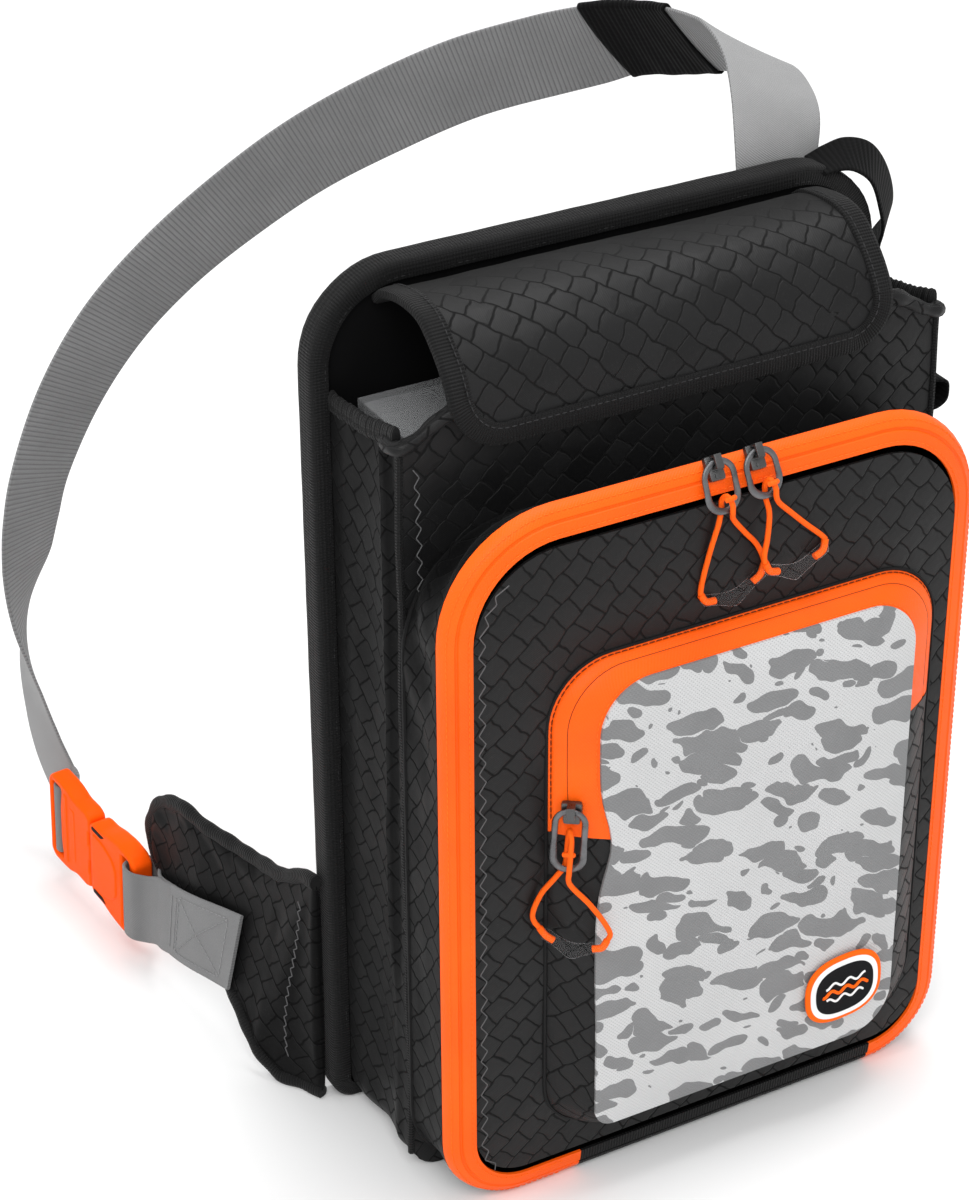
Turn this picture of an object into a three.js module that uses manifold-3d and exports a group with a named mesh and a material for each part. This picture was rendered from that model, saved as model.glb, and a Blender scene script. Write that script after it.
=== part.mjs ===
// Fishing tackle sling bag. Millimetres, X to the right seen from the front, Y to the back, Z up.
// The origin is the middle of the flat base.
import * as THREE from 'three';
import { mergeVertices } from 'three/addons/utils/BufferGeometryUtils.js';
import Module from 'manifold-3d';

const wasm = await Module();
wasm.setup();

// driving sizes
const panelWidth = 252;
const panelHeight = 380;
const bagWidth = 238;
const sleeveDepth = 54.3;
const mainDepth = 27;
const mainDrop = 66;
const pocketDrop = 65;
const pocketDepth = 14;
const loopDepth = 236;
const wingLength = 128;
const webbing = 38;
const cloth = 2;
const play = 0.35;

// places that follow from them
const backY = 49;
const panelThick = 8.6;
const panelFrontY = backY - panelThick;
const mainHeight = panelHeight - mainDrop;
const halfBag = bagWidth / 2;
const halfPanel = panelWidth / 2;
const bindingBackY = backY + 1.7;
const bindingDepth = 12;
const sleeveBackY = bindingBackY - bindingDepth - play;
const sleeveFrontY = sleeveBackY - sleeveDepth;
const mainBackY = sleeveFrontY - play;
const mainEdgeY = mainBackY - mainDepth;
const frontY = mainEdgeY - 7.4;
const rimHeight = 0.86 * panelHeight;
const strapThick = 1.6;

const colours = {
  cloth: [0x26272a, 0.85, 0], binding: [0x1c1c1e, 0.9, 0], print: [0x9a9c9e, 0.85, 0],
  orange: [0xff6614, 0.6, 0], webbing: [0x7d7e80, 0.9, 0], black: [0x141414, 0.8, 0],
  metal: [0x4a4b50, 0.35, 1], clear: [0xd8dcdf, 0.2, 0], badge: [0x1a1a1c, 0.6, 0],
};

const bag = new THREE.Group();
bag.name = 'tackle_sling_bag';

const v3 = (x, y, z) => new THREE.Vector3(x, y, z);
const mix = (a, b, t) => a + (b - a) * t;

// a closed surface from points and faces, turned so that its faces point out
function surface(points, faces) {
  let volume = 0;
  for (const [a, b, c] of faces) {
    volume += points[a].dot(points[b].clone().cross(points[c]));
  }
  const index = volume < 0 ? faces.map(([a, b, c]) => [a, c, b]) : faces;
  const geometry = new THREE.BufferGeometry();
  geometry.setAttribute('position', new THREE.Float32BufferAttribute(points.flatMap((p) => [p.x, p.y, p.z]), 3));
  geometry.setIndex(index.flat());
  return geometry;
}

function add(name, geometry, finish) {
  const [color, roughness, metalness] = colours[finish];
  const mesh = new THREE.Mesh(geometry, new THREE.MeshStandardMaterial({ color, roughness, metalness }));
  mesh.name = name;
  bag.add(mesh);
  return mesh;
}

// a wall between two grids of points, closed along its edges; loop joins the last column to the first
function wall(outer, inner, loop = false) {
  const columns = outer.length;
  const rows = outer[0].length;
  const points = [...outer.flat(), ...inner.flat()];
  const out = (i, j) => (i % columns) * rows + j;
  const inn = (i, j) => columns * rows + out(i, j);
  const faces = [];
  const quad = (a, b, c, d) => faces.push([a, b, c], [a, c, d]);
  const last = loop ? columns : columns - 1;
  for (let i = 0; i < last; i++) {
    for (let j = 0; j < rows - 1; j++) {
      quad(out(i, j), out(i + 1, j), out(i + 1, j + 1), out(i, j + 1));
      quad(inn(i, j), inn(i, j + 1), inn(i + 1, j + 1), inn(i + 1, j));
    }
    quad(out(i, 0), inn(i, 0), inn(i + 1, 0), out(i + 1, 0));
    quad(out(i, rows - 1), out(i + 1, rows - 1), inn(i + 1, rows - 1), inn(i, rows - 1));
  }
  if (!loop) {
    for (let j = 0; j < rows - 1; j++) {
      quad(out(0, j), out(0, j + 1), inn(0, j + 1), inn(0, j));
      quad(out(last, j), inn(last, j), inn(last, j + 1), out(last, j + 1));
    }
  }
  return surface(points, faces);
}

// a plate from rings that run from its rim to its middle, one set for each face
function plate(front, back) {
  const n = front[0].length;
  const points = [...front.flat(), ...back.flat()];
  const rings = front.length;
  const at = (side, k, i) => (side * rings + k) * n + (i % n);
  const centre = (ring) => ring.reduce((s, p) => s.add(p), v3(0, 0, 0)).divideScalar(n);
  const hubs = [points.push(centre(front[rings - 1])) - 1, points.push(centre(back[rings - 1])) - 1];
  const faces = [];
  for (let i = 0; i < n; i++) {
    for (let k = 0; k < rings - 1; k++) {
      faces.push([at(0, k, i), at(0, k, i + 1), at(0, k + 1, i + 1)], [at(0, k, i), at(0, k + 1, i + 1), at(0, k + 1, i)]);
      faces.push([at(1, k, i), at(1, k + 1, i + 1), at(1, k, i + 1)], [at(1, k, i), at(1, k + 1, i), at(1, k + 1, i + 1)]);
    }
    faces.push([at(0, rings - 1, i), at(0, rings - 1, i + 1), hubs[0]]);
    faces.push([at(1, rings - 1, i + 1), at(1, rings - 1, i), hubs[1]]);
    faces.push([at(0, 0, i + 1), at(0, 0, i), at(1, 0, i)], [at(0, 0, i + 1), at(1, 0, i), at(1, 0, i + 1)]);
  }
  return surface(points, faces);
}

// a solid drawn through closed sections, with flat ends unless the run closes on itself
function loft(sections, loop = false) {
  const n = sections[0].length;
  const count = sections.length;
  const points = sections.flat();
  const at = (k, i) => (k % count) * n + (i % n);
  const faces = [];
  for (let k = 0; k < (loop ? count : count - 1); k++) {
    for (let i = 0; i < n; i++) {
      faces.push([at(k, i), at(k, i + 1), at(k + 1, i + 1)], [at(k, i), at(k + 1, i + 1), at(k + 1, i)]);
    }
  }
  if (!loop) {
    const ends = [0, count - 1].map((k) => {
      const middle = sections[k].reduce((s, p) => s.add(p), v3(0, 0, 0)).divideScalar(n);
      return points.push(middle) - 1;
    });
    for (let i = 0; i < n; i++) {
      faces.push([at(0, i + 1), at(0, i), ends[0]], [at(count - 1, i), at(count - 1, i + 1), ends[1]]);
    }
  }
  return surface(points, faces);
}

function toSolid(geometry) {
  const bare = geometry.clone();
  bare.deleteAttribute('normal');
  bare.deleteAttribute('uv');
  const merged = mergeVertices(bare, 1e-4);
  return new wasm.Manifold(new wasm.Mesh({
    numProp: 3,
    vertProperties: new Float32Array(merged.attributes.position.array),
    triVerts: new Uint32Array(merged.index.array),
  }));
}

function fromSolid(solid) {
  const mesh = solid.getMesh();
  const geometry = new THREE.BufferGeometry();
  geometry.setAttribute('position', new THREE.Float32BufferAttribute(mesh.vertProperties, 3));
  geometry.setIndex(new THREE.Uint32BufferAttribute(mesh.triVerts, 1));
  return geometry;
}

// cuts given as boxes: low and high corner in the body's own frame
function cutBoxes(geometry, boxes) {
  let solid = toSolid(geometry);
  for (const [low, high] of boxes) {
    const size = high.map((h, k) => h - low[k]);
    const box = new THREE.BoxGeometry(...size);
    box.translate(...low.map((l, k) => l + size[k] / 2));
    solid = solid.subtract(toSolid(box));
  }
  return fromSolid(solid);
}

// outline with rounded corners, as [x, z] pairs: from the middle of the bottom to the left, up,
// over the top and down the right side; every outline has its points at the same steps
const run = { half: 3, corner: 6, side: 6 };
const mark = { leftFoot: 3, leftLow: 9, leftHigh: 15, topLeft: 21, topRight: 27, rightHigh: 33, rightLow: 39, rightFoot: 45, all: 48 };
function outline(left, right, bottom, top, radii) {
  const [lowLeft, highLeft, highRight, lowRight] = radii;
  const points = [];
  const middle = (left + right) / 2;
  const line = (x0, z0, x1, z1, n) => {
    for (let k = 0; k < n; k++) points.push([mix(x0, x1, k / n), mix(z0, z1, k / n)]);
  };
  const arc = (cx, cz, r, from) => {
    for (let k = 0; k < run.corner; k++) {
      const a = from - (Math.PI / 2) * (k / run.corner);
      points.push([cx + r * Math.cos(a), cz + r * Math.sin(a)]);
    }
  };
  line(middle, bottom, left + lowLeft, bottom, run.half);
  arc(left + lowLeft, bottom + lowLeft, lowLeft, -Math.PI / 2);
  line(left, bottom + lowLeft, left, top - highLeft, run.side);
  arc(left + highLeft, top - highLeft, highLeft, -Math.PI);
  line(left + highLeft, top, right - highRight, top, run.side);
  arc(right - highRight, top - highRight, highRight, Math.PI / 2);
  line(right, top - highRight, right, bottom + lowRight, run.side);
  arc(right - lowRight, bottom + lowRight, lowRight, 0);
  line(right - lowRight, bottom, middle, bottom, run.half);
  return points;
}
const inset = (box, d, least = 3) => outline(
  box.left + d, box.right - d, box.bottom + d, box.top - d, box.radii.map((r) => Math.max(r - d, least)),
);
const lift = (points, y) => points.map(([x, z]) => v3(x, y, z));
const blend = (a, b, t) => a.map(([x, z], i) => [mix(x, b[i][0], t), mix(z, b[i][1], t)]);
// columns of an outline's rings, from one step to another, running on past the start
function columns(rings, from, to) {
  const list = [];
  for (let i = from; i <= to; i++) list.push(rings.map((ring) => ring[i % mark.all]));
  return list;
}

// back panel: a padded board with a bound edge
const panelBox = {
  left: -halfPanel, right: halfPanel, bottom: 0, top: panelHeight, radii: [10, 0.15 * panelWidth, 0.15 * panelWidth, 10],
};
const bindingWide = 7;
const bindingWall = 1.3;
const panelRings = (y, swell) => [
  lift(inset(panelBox, 2.2), y), lift(inset(panelBox, bindingWide + 1), y), lift(inset(panelBox, 30), y + swell),
];
add('back_panel', plate(panelRings(panelFrontY, 0), panelRings(backY, 1.6)), 'cloth');
{
  const frontOut = bindingBackY - bindingDepth;
  const section = [
    [bindingWide, panelFrontY - play], [bindingWide, frontOut], [0.8, frontOut], [0, frontOut + 1.2],
    [0, bindingBackY - 1.2], [0.8, bindingBackY], [bindingWide, bindingBackY], [bindingWide, backY + play],
    [bindingWall, backY + play], [bindingWall, panelFrontY - play],
  ];
  const rings = section.map(([d, y]) => lift(inset(panelBox, d), y));
  add('back_binding', loft(rings[0].map((_, i) => rings.map((r) => r[i])), true), 'binding');
}

// sleeve behind the main compartment: a U of cloth and its front wall, open at both top corners
const sleeveCorner = 14;
const sleeveHalf = halfBag - 0.4;
const rimTop = (y) => {
  const t = (sleeveBackY - y) / sleeveDepth;
  return rimHeight + 0.024 * panelHeight * t * t;
};
function sleeveU(d, ys) {
  const half = sleeveHalf - d;
  const r = Math.max(sleeveCorner - d, 2);
  return ys.map((y) => {
    const top = rimTop(y);
    const path = [];
    for (let k = 0; k < 6; k++) path.push(v3(-half, y, mix(top, d + r, k / 6)));
    for (let k = 0; k < 5; k++) {
      const a = Math.PI + (Math.PI / 2) * (k / 5);
      path.push(v3(-half + r + r * Math.cos(a), y, d + r + r * Math.sin(a)));
    }
    for (let k = 0; k < 6; k++) path.push(v3(mix(-half + r, half - r, k / 6), y, d));
    for (let k = 0; k < 5; k++) {
      const a = -Math.PI / 2 + (Math.PI / 2) * (k / 5);
      path.push(v3(half - r + r * Math.cos(a), y, d + r + r * Math.sin(a)));
    }
    for (let k = 0; k <= 6; k++) path.push(v3(half, y, mix(d + r, top, k / 6)));
    return path;
  });
}
{
  const ys = [0, 0.25, 0.5, 0.75, 1].map((t) => mix(sleeveBackY, sleeveFrontY + cloth + play, t));
  const turn = (rows) => rows[0].map((_, i) => rows.map((row) => row[i]));
  add('sleeve_gusset', wall(turn(sleeveU(0, ys)), turn(sleeveU(cloth, ys))), 'cloth');
}
const sleeveTop = 0.911 * panelHeight;
const frontWallTop = (x) => {
  const over = Math.max(0, Math.abs(x) - 0.78 * sleeveHalf) / (0.22 * sleeveHalf);
  return mix(sleeveTop, rimTop(sleeveFrontY) - 1, over * over * (3 - 2 * over));
};
{
  const half = sleeveHalf;
  const xs = [-1, -0.992, -0.966, -0.925, -0.88, -0.82, -0.7, -0.45, -0.15, 0.15, 0.45, 0.7, 0.82, 0.88, 0.925, 0.966, 0.992, 1];
  const foot = (x) => {
    const over = Math.max(0, Math.abs(x) - (half - sleeveCorner));
    return sleeveCorner - Math.sqrt(Math.max(sleeveCorner * sleeveCorner - over * over, 0));
  };
  const face = (y) => xs.map((t) => {
    const x = t * half;
    return [0, 0.33, 0.66, 1].map((u) => v3(x, y, mix(foot(x), frontWallTop(x), u)));
  });
  add('sleeve_front_wall', wall(face(sleeveFrontY), face(sleeveFrontY + cloth)), 'cloth');
}
// gathered elastic along each side's top edge
for (const [side, name] of [[-1, 'sleeve_rim_left'], [1, 'sleeve_rim_right']]) {
  const steps = 16;
  const sections = [];
  for (let k = 0; k <= steps; k++) {
    const y = mix(sleeveBackY, sleeveFrontY + cloth + play, k / steps);
    const gather = k % 2 ? 0.7 : -0.4;
    const z = rimTop(y) + play + 3.6;
    const x = side * (sleeveHalf - cloth / 2);
    const ring = [];
    for (let i = 0; i < 8; i++) {
      const a = (Math.PI / 4) * i + Math.PI / 8;
      ring.push(v3(x + (2.1 + gather * 0.6) * Math.cos(a), y, z + (3.3 + gather * 0.4) * Math.sin(a)));
    }
    sections.push(ring);
  }
  add(name, loft(sections), 'black');
}

// flap: a cloth sheet from the panel's top, over the sleeve's mouth and down its front wall
const flapLeft = -0.42 * bagWidth;
const flapRight = 0.391 * bagWidth;
const flapCorner = 22;
const flapEdge = 9;
const flapThick = 2.6;
const flapLine = [
  { back: 0.026, down: 12.4 }, { back: 0.14, down: 8.0 }, { back: 0.42, down: 4.6 }, { back: 0.66, down: 6.0 },
  { back: 0.84, down: 13.2 }, { back: 0.975, down: 21.2 }, { back: 1.075, down: 31.0 }, { back: 1.11, down: 41.0 },
  { back: 1.115, down: 50.0 },
].map(({ back, down }) => v3(0, panelFrontY - play - back * (sleeveDepth + 1.7), panelHeight - down));
const flapCurve = new THREE.CatmullRomCurve3(flapLine, false, 'centripetal');
const flapLength = flapCurve.getLength();
function onFlap(x, s, h) {
  const t = Math.min(Math.max(s / flapLength, 0), 1);
  const p = flapCurve.getPointAt(t);
  const along = flapCurve.getTangentAt(t);
  return v3(x, p.y + h * along.z, p.z - h * along.y);
}
{
  const low = flapLength - flapEdge - play;
  const r = flapCorner - flapEdge;
  const rows = 12;
  const across = 8;
  const sheet = (h) => {
    const grid = [];
    for (let i = 0; i <= across; i++) {
      const column = [];
      for (let j = 0; j <= rows; j++) {
        const s = j < 8 ? mix(0, low - r, j / 8) : low - r + r * Math.sin(((j - 8) / (rows - 8)) * (Math.PI / 2));
        const over = Math.max(0, s - (low - r));
        const pull = r - Math.sqrt(Math.max(r * r - over * over, 0));
        const edge = flapEdge + play + pull;
        column.push(onFlap(mix(flapLeft + edge, flapRight - edge, i / across), s, h));
      }
      grid.push(column);
    }
    return grid;
  };
  add('flap', wall(sheet(flapThick / 2), sheet(-flapThick / 2)), 'cloth');
  const path = [];
  const straight = flapLength - flapCorner;
  for (let k = 0; k < 8; k++) path.push([flapLeft, (straight * k) / 8, 1, 0]);
  for (let k = 0; k < 6; k++) {
    const a = (Math.PI / 2) * (k / 6);
    path.push([flapLeft + flapCorner * (1 - Math.cos(a)), straight + flapCorner * Math.sin(a), Math.cos(a), -Math.sin(a)]);
  }
  for (let k = 0; k < 6; k++) path.push([mix(flapLeft + flapCorner, flapRight - flapCorner, k / 6), flapLength, 0, -1]);
  for (let k = 0; k < 6; k++) {
    const a = (Math.PI / 2) * (1 - k / 6);
    path.push([flapRight - flapCorner * (1 - Math.cos(a)), straight + flapCorner * Math.sin(a), -Math.cos(a), -Math.sin(a)]);
  }
  for (let k = 0; k <= 8; k++) path.push([flapRight, straight * (1 - k / 8), -1, 0]);
  const half = flapThick / 2 + 0.9;
  const sections = path.map(([x, s, dx, ds]) => [
    onFlap(x, s, -half + 0.8), onFlap(x, s, half - 0.8), onFlap(x + dx * 0.9, s + ds * 0.9, half),
    onFlap(x + dx * flapEdge, s + ds * flapEdge, half), onFlap(x + dx * flapEdge, s + ds * flapEdge, -half),
    onFlap(x + dx * 0.9, s + ds * 0.9, -half),
  ]);
  add('flap_binding', loft(sections), 'binding');
}

// main compartment: a gusset, a zip band around its front edge and a front panel
const mainRadii = [0.147 * bagWidth, 0.2 * bagWidth, 0.2 * bagWidth, 0.147 * bagWidth];
const mainBox = { left: -halfBag, right: halfBag, bottom: 0, top: mainHeight, radii: mainRadii };
const mainBackBox = { ...mainBox, top: mainHeight - 0.63 * mainDepth };
{
  const half = (d) => blend(inset(mainBackBox, d), inset(mainBox, d), 0.5);
  const rings = (d) => [lift(inset(mainBackBox, d), mainBackY), lift(half(d), mix(mainBackY, mainEdgeY, 0.5)), lift(inset(mainBox, d), mainEdgeY)];
  const outer = columns(rings(0), 0, mark.all - 1);
  const inner = columns(rings(cloth), 0, mark.all - 1);
  add('main_gusset', wall(outer, inner, true), 'cloth');
}
// band profile: distance in from the outline and depth in front of the gusset's edge
const bandWide = 11.6;
const bandOuter = [{ d: 0, y: play }, { d: 1.6, y: 4 }, { d: 5.4, y: 6.5 }, { d: bandWide, y: 7.6 }];
const bandInner = [{ d: cloth, y: play }, { d: 3.3, y: 2.8 }, { d: 6.2, y: 4.6 }, { d: bandWide, y: 5.6 }];
const bandRings = (profile) => profile.map(({ d, y }) => lift(inset(mainBox, d), mainEdgeY - y));
const zipStart = 2;
const zipEnd = mark.rightFoot - 1;
add('main_zip_tape', wall(columns(bandRings(bandOuter), zipStart, zipEnd), columns(bandRings(bandInner), zipStart, zipEnd)), 'orange');
{
  // the plain band under the bag, with a clear end at each zip stop
  const shrink = (list) => {
    const ends = [list[0], list[list.length - 1]];
    const next = [list[1], list[list.length - 2]];
    ends.forEach((column, e) => column.forEach((p, k) => {
      const step = next[e][k].clone().sub(p);
      column[k] = p.clone().add(step.setLength(play));
    }));
    return list;
  };
  const from = zipEnd;
  const to = mark.all + zipStart;
  add('bottom_band', wall(shrink(columns(bandRings(bandOuter), from, to)), shrink(columns(bandRings(bandInner), from, to))), 'binding');
}
const panelFace = frontY - 1;
{
  const rings = (y) => [
    lift(inset(mainBox, bandWide + play), y), lift(inset(mainBox, bandWide + 14), y - 1), lift(inset(mainBox, 70), y - 1),
  ];
  add('front_panel', plate(rings(panelFace + 1), rings(panelFace + 1 + cloth)), 'cloth');
}

// front pocket: black gusset, orange zip over the top and a printed face
const pocketBox = {
  left: -0.324 * bagWidth, right: 0.416 * bagWidth, bottom: 0.095 * mainHeight, top: mainHeight - pocketDrop,
  radii: [24, 27, 28, 27],
};
const faceBox = {
  left: -0.256 * bagWidth, right: 0.345 * bagWidth, bottom: 0.108 * mainHeight, top: mainHeight - pocketDrop - 7,
  radii: [9, 22, 22, 20],
};
const pocketBaseY = panelFace - play;
const pocketRimY = pocketBaseY - pocketDepth + cloth + play;
{
  const base = inset(pocketBox, 0);
  const low = mark.leftLow + 4;
  const high = mark.rightHigh + 1;
  const zipLeftZ = 0.56 * mainHeight;
  const rings = (d, y0, y1) => [0, 0.5, 1].map((t) => {
    const ring = blend(inset(pocketBox, d), inset(faceBox, d), t);
    const out = t === 0.5 ? 0.16 : 0;
    return ring.map(([x, z], i) => v3(mix(x, base[i][0], out), mix(y0, y1, t), i === low ? zipLeftZ : mix(z, base[i][1], out)));
  });
  const outer = rings(0, pocketBaseY, pocketRimY);
  const inner = rings(cloth, pocketBaseY, pocketRimY);
  const trim = (grid, sign) => grid.map((column, i) => {
    const end = i === 0 || i === grid.length - 1;
    return end ? column.map((p) => p.clone().add(v3(0, 0, sign * play))) : column;
  });
  add('pocket_zip_tape', wall(columns(outer, low, high), columns(inner, low, high)), 'orange');
  add('pocket_gusset', wall(
    trim(columns(outer, high, mark.all + low), -1), trim(columns(inner, high, mark.all + low), -1),
  ), 'cloth');
  const face = (y, d) => [lift(inset(faceBox, d), y), lift(inset(faceBox, d + 8), y - 1), lift(inset(faceBox, 50), y - 1)];
  add('pocket_face', plate(face(pocketRimY - play - cloth, 0.6), face(pocketRimY - play, 0)), 'print');
}
const faceY = pocketRimY - play - cloth - 1;

// oval badge on the face's lower right
const badgeX = faceBox.right - 27;
const badgeZ = faceBox.bottom + 32;
{
  const ring = (a, b, y) => Array.from({ length: 32 }, (_, i) => {
    const t = (2 * Math.PI * i) / 32;
    return v3(badgeX + a * Math.cos(t), y, badgeZ + b * Math.sin(t));
  });
  const y = faceY - play;
  add('badge', plate(
    [ring(18.6, 16.4, y - 1.6), ring(17.4, 15.2, y - 1.9), ring(10, 9, y - 1.9)],
    [ring(18.6, 16.4, y), ring(17.4, 15.2, y), ring(10, 9, y)],
  ), 'badge');
}

// wing: a padded tongue from the panel's left edge, flared below and drawn to a blunt tip
const wingRoute = [
  { back: -0.02, low: 2.5, high: 112, out: 0, flare: 0 },
  { back: 0.06, low: 2.2, high: 108, out: 0.3, flare: 4 },
  { back: 0.14, low: 3, high: 102, out: 0.5, flare: 11 },
  { back: 0.22, low: 11, high: 97, out: 0.2, flare: 18 },
  { back: 0.35, low: 26, high: 93, out: -1.2, flare: 24 },
  { back: 0.5, low: 35, high: 91, out: 1.8, flare: 22 },
  { back: 0.65, low: 42, high: 94, out: 8.3, flare: 16 },
  { back: 0.78, low: 46, high: 97, out: 12, flare: 11 },
  { back: 0.88, low: 50, high: 93, out: 13.9, flare: 7 },
  { back: 0.95, low: 56, high: 87, out: 16.2, flare: 4 },
  { back: 1.0, low: 64, high: 76, out: 17.4, flare: 2 },
];
const wingRootX = -halfPanel - play - 2.4;
const wingRootY = backY - 3;
const wingTall = 0.3 * panelHeight;
const wingX = (r, z) => wingRootX - r.out - r.flare * (1 - z / wingTall);
function wingAt(r, t, h) {
  const z = mix(r.low, r.high, t) * (wingTall / 114);
  return v3(wingX(r, z) - h, wingRootY + r.back * wingLength, z);
}
// where the sewn tab leaves the buckle, and where the strap enters it
const tabNear = v3(wingRootX - 25.5 - play, wingRootY + 0.99 * wingLength, 0.282 * wingTall);
const buckleEnd = v3(tabNear.x - 8, tabNear.y + 76, tabNear.z + 6);

// strap: flat webbing from the panel's back, over and around the wearer, to the buckle.
// x is a share of the bag's width, back of the loop's depth, up of the panel's height,
// and right, away, rise point across the webbing
const strapRoute = [
  { x: 0.37, back: 0.0, up: 0.905, right: 38, away: 0, rise: 0 },
  { x: 0.37, back: 0.0, up: 0.955, right: 38, away: 0, rise: 0 },
  { x: 0.369, back: 0.007, up: 1.004, right: 38, away: -1, rise: -1 },
  { x: 0.387, back: 0.043, up: 1.044, right: 36, away: -7, rise: -7 },
  { x: 0.41, back: 0.109, up: 1.066, right: 35, away: -7, rise: -13 },
  { x: 0.43, back: 0.186, up: 1.072, right: 33, away: -7, rise: -17 },
  { x: 0.446, back: 0.264, up: 1.07, right: 32, away: -7, rise: -18 },
  { x: 0.453, back: 0.342, up: 1.061, right: 32, away: -6, rise: -20 },
  { x: 0.449, back: 0.42, up: 1.047, right: 29, away: -4, rise: -24 },
  { x: 0.432, back: 0.495, up: 1.03, right: 25, away: -4, rise: -28 },
  { x: 0.405, back: 0.566, up: 1.013, right: 19, away: -4, rise: -32 },
  { x: 0.367, back: 0.631, up: 0.995, right: 14, away: -6, rise: -35 },
  { x: 0.318, back: 0.69, up: 0.978, right: 11, away: -6, rise: -36 },
  { x: 0.197, back: 0.785, up: 0.945, right: 12, away: -6, rise: -35 },
  { x: 0.061, back: 0.847, up: 0.906, right: 14, away: -6, rise: -35 },
  { x: -0.078, back: 0.894, up: 0.862, right: 18, away: -3, rise: -33 },
  { x: -0.21, back: 0.931, up: 0.808, right: 22, away: 0, rise: -31 },
  { x: -0.333, back: 0.964, up: 0.747, right: 26, away: 3, rise: -28 },
  { x: -0.445, back: 0.99, up: 0.675, right: 29, away: 5, rise: -24 },
  { x: -0.54, back: 0.996, up: 0.593, right: 31, away: 9, rise: -20 },
  { x: -0.613, back: 0.988, up: 0.5039, right: 31, away: 14, rise: -16 },
  { x: -0.637, back: 0.986, up: 0.4500, right: 30, away: 16, rise: -15 },
  { x: -0.650, back: 0.990, up: 0.3987, right: 28, away: 20, rise: -14 },
  { x: -0.662, back: 0.997, up: 0.3421, right: 22, away: 29, rise: -12 },
  { x: -0.664, back: 1.003, up: 0.2842, right: 13, away: 35, rise: -8 },
  { x: -0.661, back: 0.999, up: 0.2289, right: 5, away: 37, rise: -8 },
  { x: -0.656, back: 0.982, up: 0.1816, right: 1, away: 36, rise: -12 },
  { x: -0.652, back: 0.954, up: 0.1447, right: -1, away: 31, rise: -22 },
  { x: -0.647, back: 0.917, up: 0.1184, right: -1, away: 24, rise: -29 },
  { x: -0.644, back: 0.879, up: 0.1039, right: 0, away: 14, rise: -35 },
  { x: -0.644, back: 0.844, up: 0.1000, right: 0, away: 7, rise: -37 },
  { x: -0.655, back: 0.816, up: 0.1000, right: 0, away: 4, rise: -38 },
  { x: -0.682, back: 0.808, up: 0.1008, right: 0, away: 3, rise: -38 },
];
const strapBackY = backY + 3.3;
const inLoop = (x, back, up) => v3(x * bagWidth, strapBackY + back * (loopDepth - 3), up * panelHeight);
// the strap's last stretch keeps its place on the buckle wherever the wing carries it
const strapEndShift = buckleEnd.clone().sub(inLoop(-0.6832, 0.843, 0.1004));
const held = (i) => Math.min(Math.max((i - 18) / 11, 0), 1);
const strapPoint = (r, i) => inLoop(r.x, r.back, r.up).addScaledVector(strapEndShift, held(i) ** 2 * (3 - 2 * held(i)));
const strapCurve = new THREE.CatmullRomCurve3(strapRoute.map(strapPoint), false, 'centripetal');
const strapLean = new THREE.CatmullRomCurve3(strapRoute.map((r) => v3(r.right, r.away, r.rise)), false, 'centripetal');
function strapFrame(u) {
  const centre = strapCurve.getPoint(u);
  const along = strapCurve.getTangent(u);
  const across = strapLean.getPoint(u);
  across.addScaledVector(along, -across.dot(along)).normalize();
  const normal = along.clone().cross(across).normalize();
  return { centre, across, normal };
}
const corner = (f, w, h) => f.centre.clone().addScaledVector(f.across, w).addScaledVector(f.normal, h);
{
  const steps = 66;
  const sections = [];
  for (let k = 0; k <= steps; k++) {
    const f = strapFrame(k / steps);
    const w = webbing / 2;
    const h = strapThick / 2;
    sections.push([corner(f, -w, -h), corner(f, 0, -h), corner(f, w, -h), corner(f, w, h), corner(f, 0, h), corner(f, -w, h)]);
  }
  add('strap', loft(sections), 'webbing');
}
// a sleeve of black elastic around the strap, near its top
{
  const from = 8.3 / (strapRoute.length - 1);
  const to = 11 / (strapRoute.length - 1);
  const steps = 10;
  const sections = [];
  for (let k = 0; k <= steps; k++) {
    const f = strapFrame(mix(from, to, k / steps));
    sections.push(f);
  }
  const ring = (f, w, h) => [corner(f, -w, -h), corner(f, 0, -h), corner(f, w, -h), corner(f, w, h), corner(f, 0, h), corner(f, -w, h)];
  const outer = sections.map((f) => ring(f, webbing / 2 + play + 1.3, strapThick / 2 + play + 1.3));
  const inner = sections.map((f) => ring(f, webbing / 2 + play, strapThick / 2 + play));
  const turn = (rows) => rows[0].map((_, i) => rows.map((row) => row[i]));
  add('strap_keeper', wall(turn(outer), turn(inner), true), 'black');
}

const wingHalf = 3.2;
// the wing's outer face at a place, between the rows of its table
function wingFace(y, z) {
  const back = (y - wingRootY) / wingLength;
  const next = Math.min(Math.max(wingRoute.findIndex((r) => r.back >= back), 1), wingRoute.length - 1);
  const [a, b] = [wingRoute[next - 1], wingRoute[next]];
  const t = (back - a.back) / (b.back - a.back);
  return mix(wingX(a, z), wingX(b, z), t) - wingHalf;
}
{
  const rows = [0, 0.07, 0.25, 0.5, 0.75, 0.93, 1];
  const half = wingRoute.map((r, i) => {
    const end = i === 0 || i === wingRoute.length - 1 ? 0.5 : 1;
    return rows.map((t) => (t === 0 || t === 1 ? 1.5 : wingHalf) * end);
  });
  half[0] = rows.map(() => 2);
  const grid = (sign) => wingRoute.map((r, i) => rows.map((t, j) => wingAt(r, t, sign * half[i][j])));
  add('wing', wall(grid(1), grid(-1)), 'cloth');
}

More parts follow.
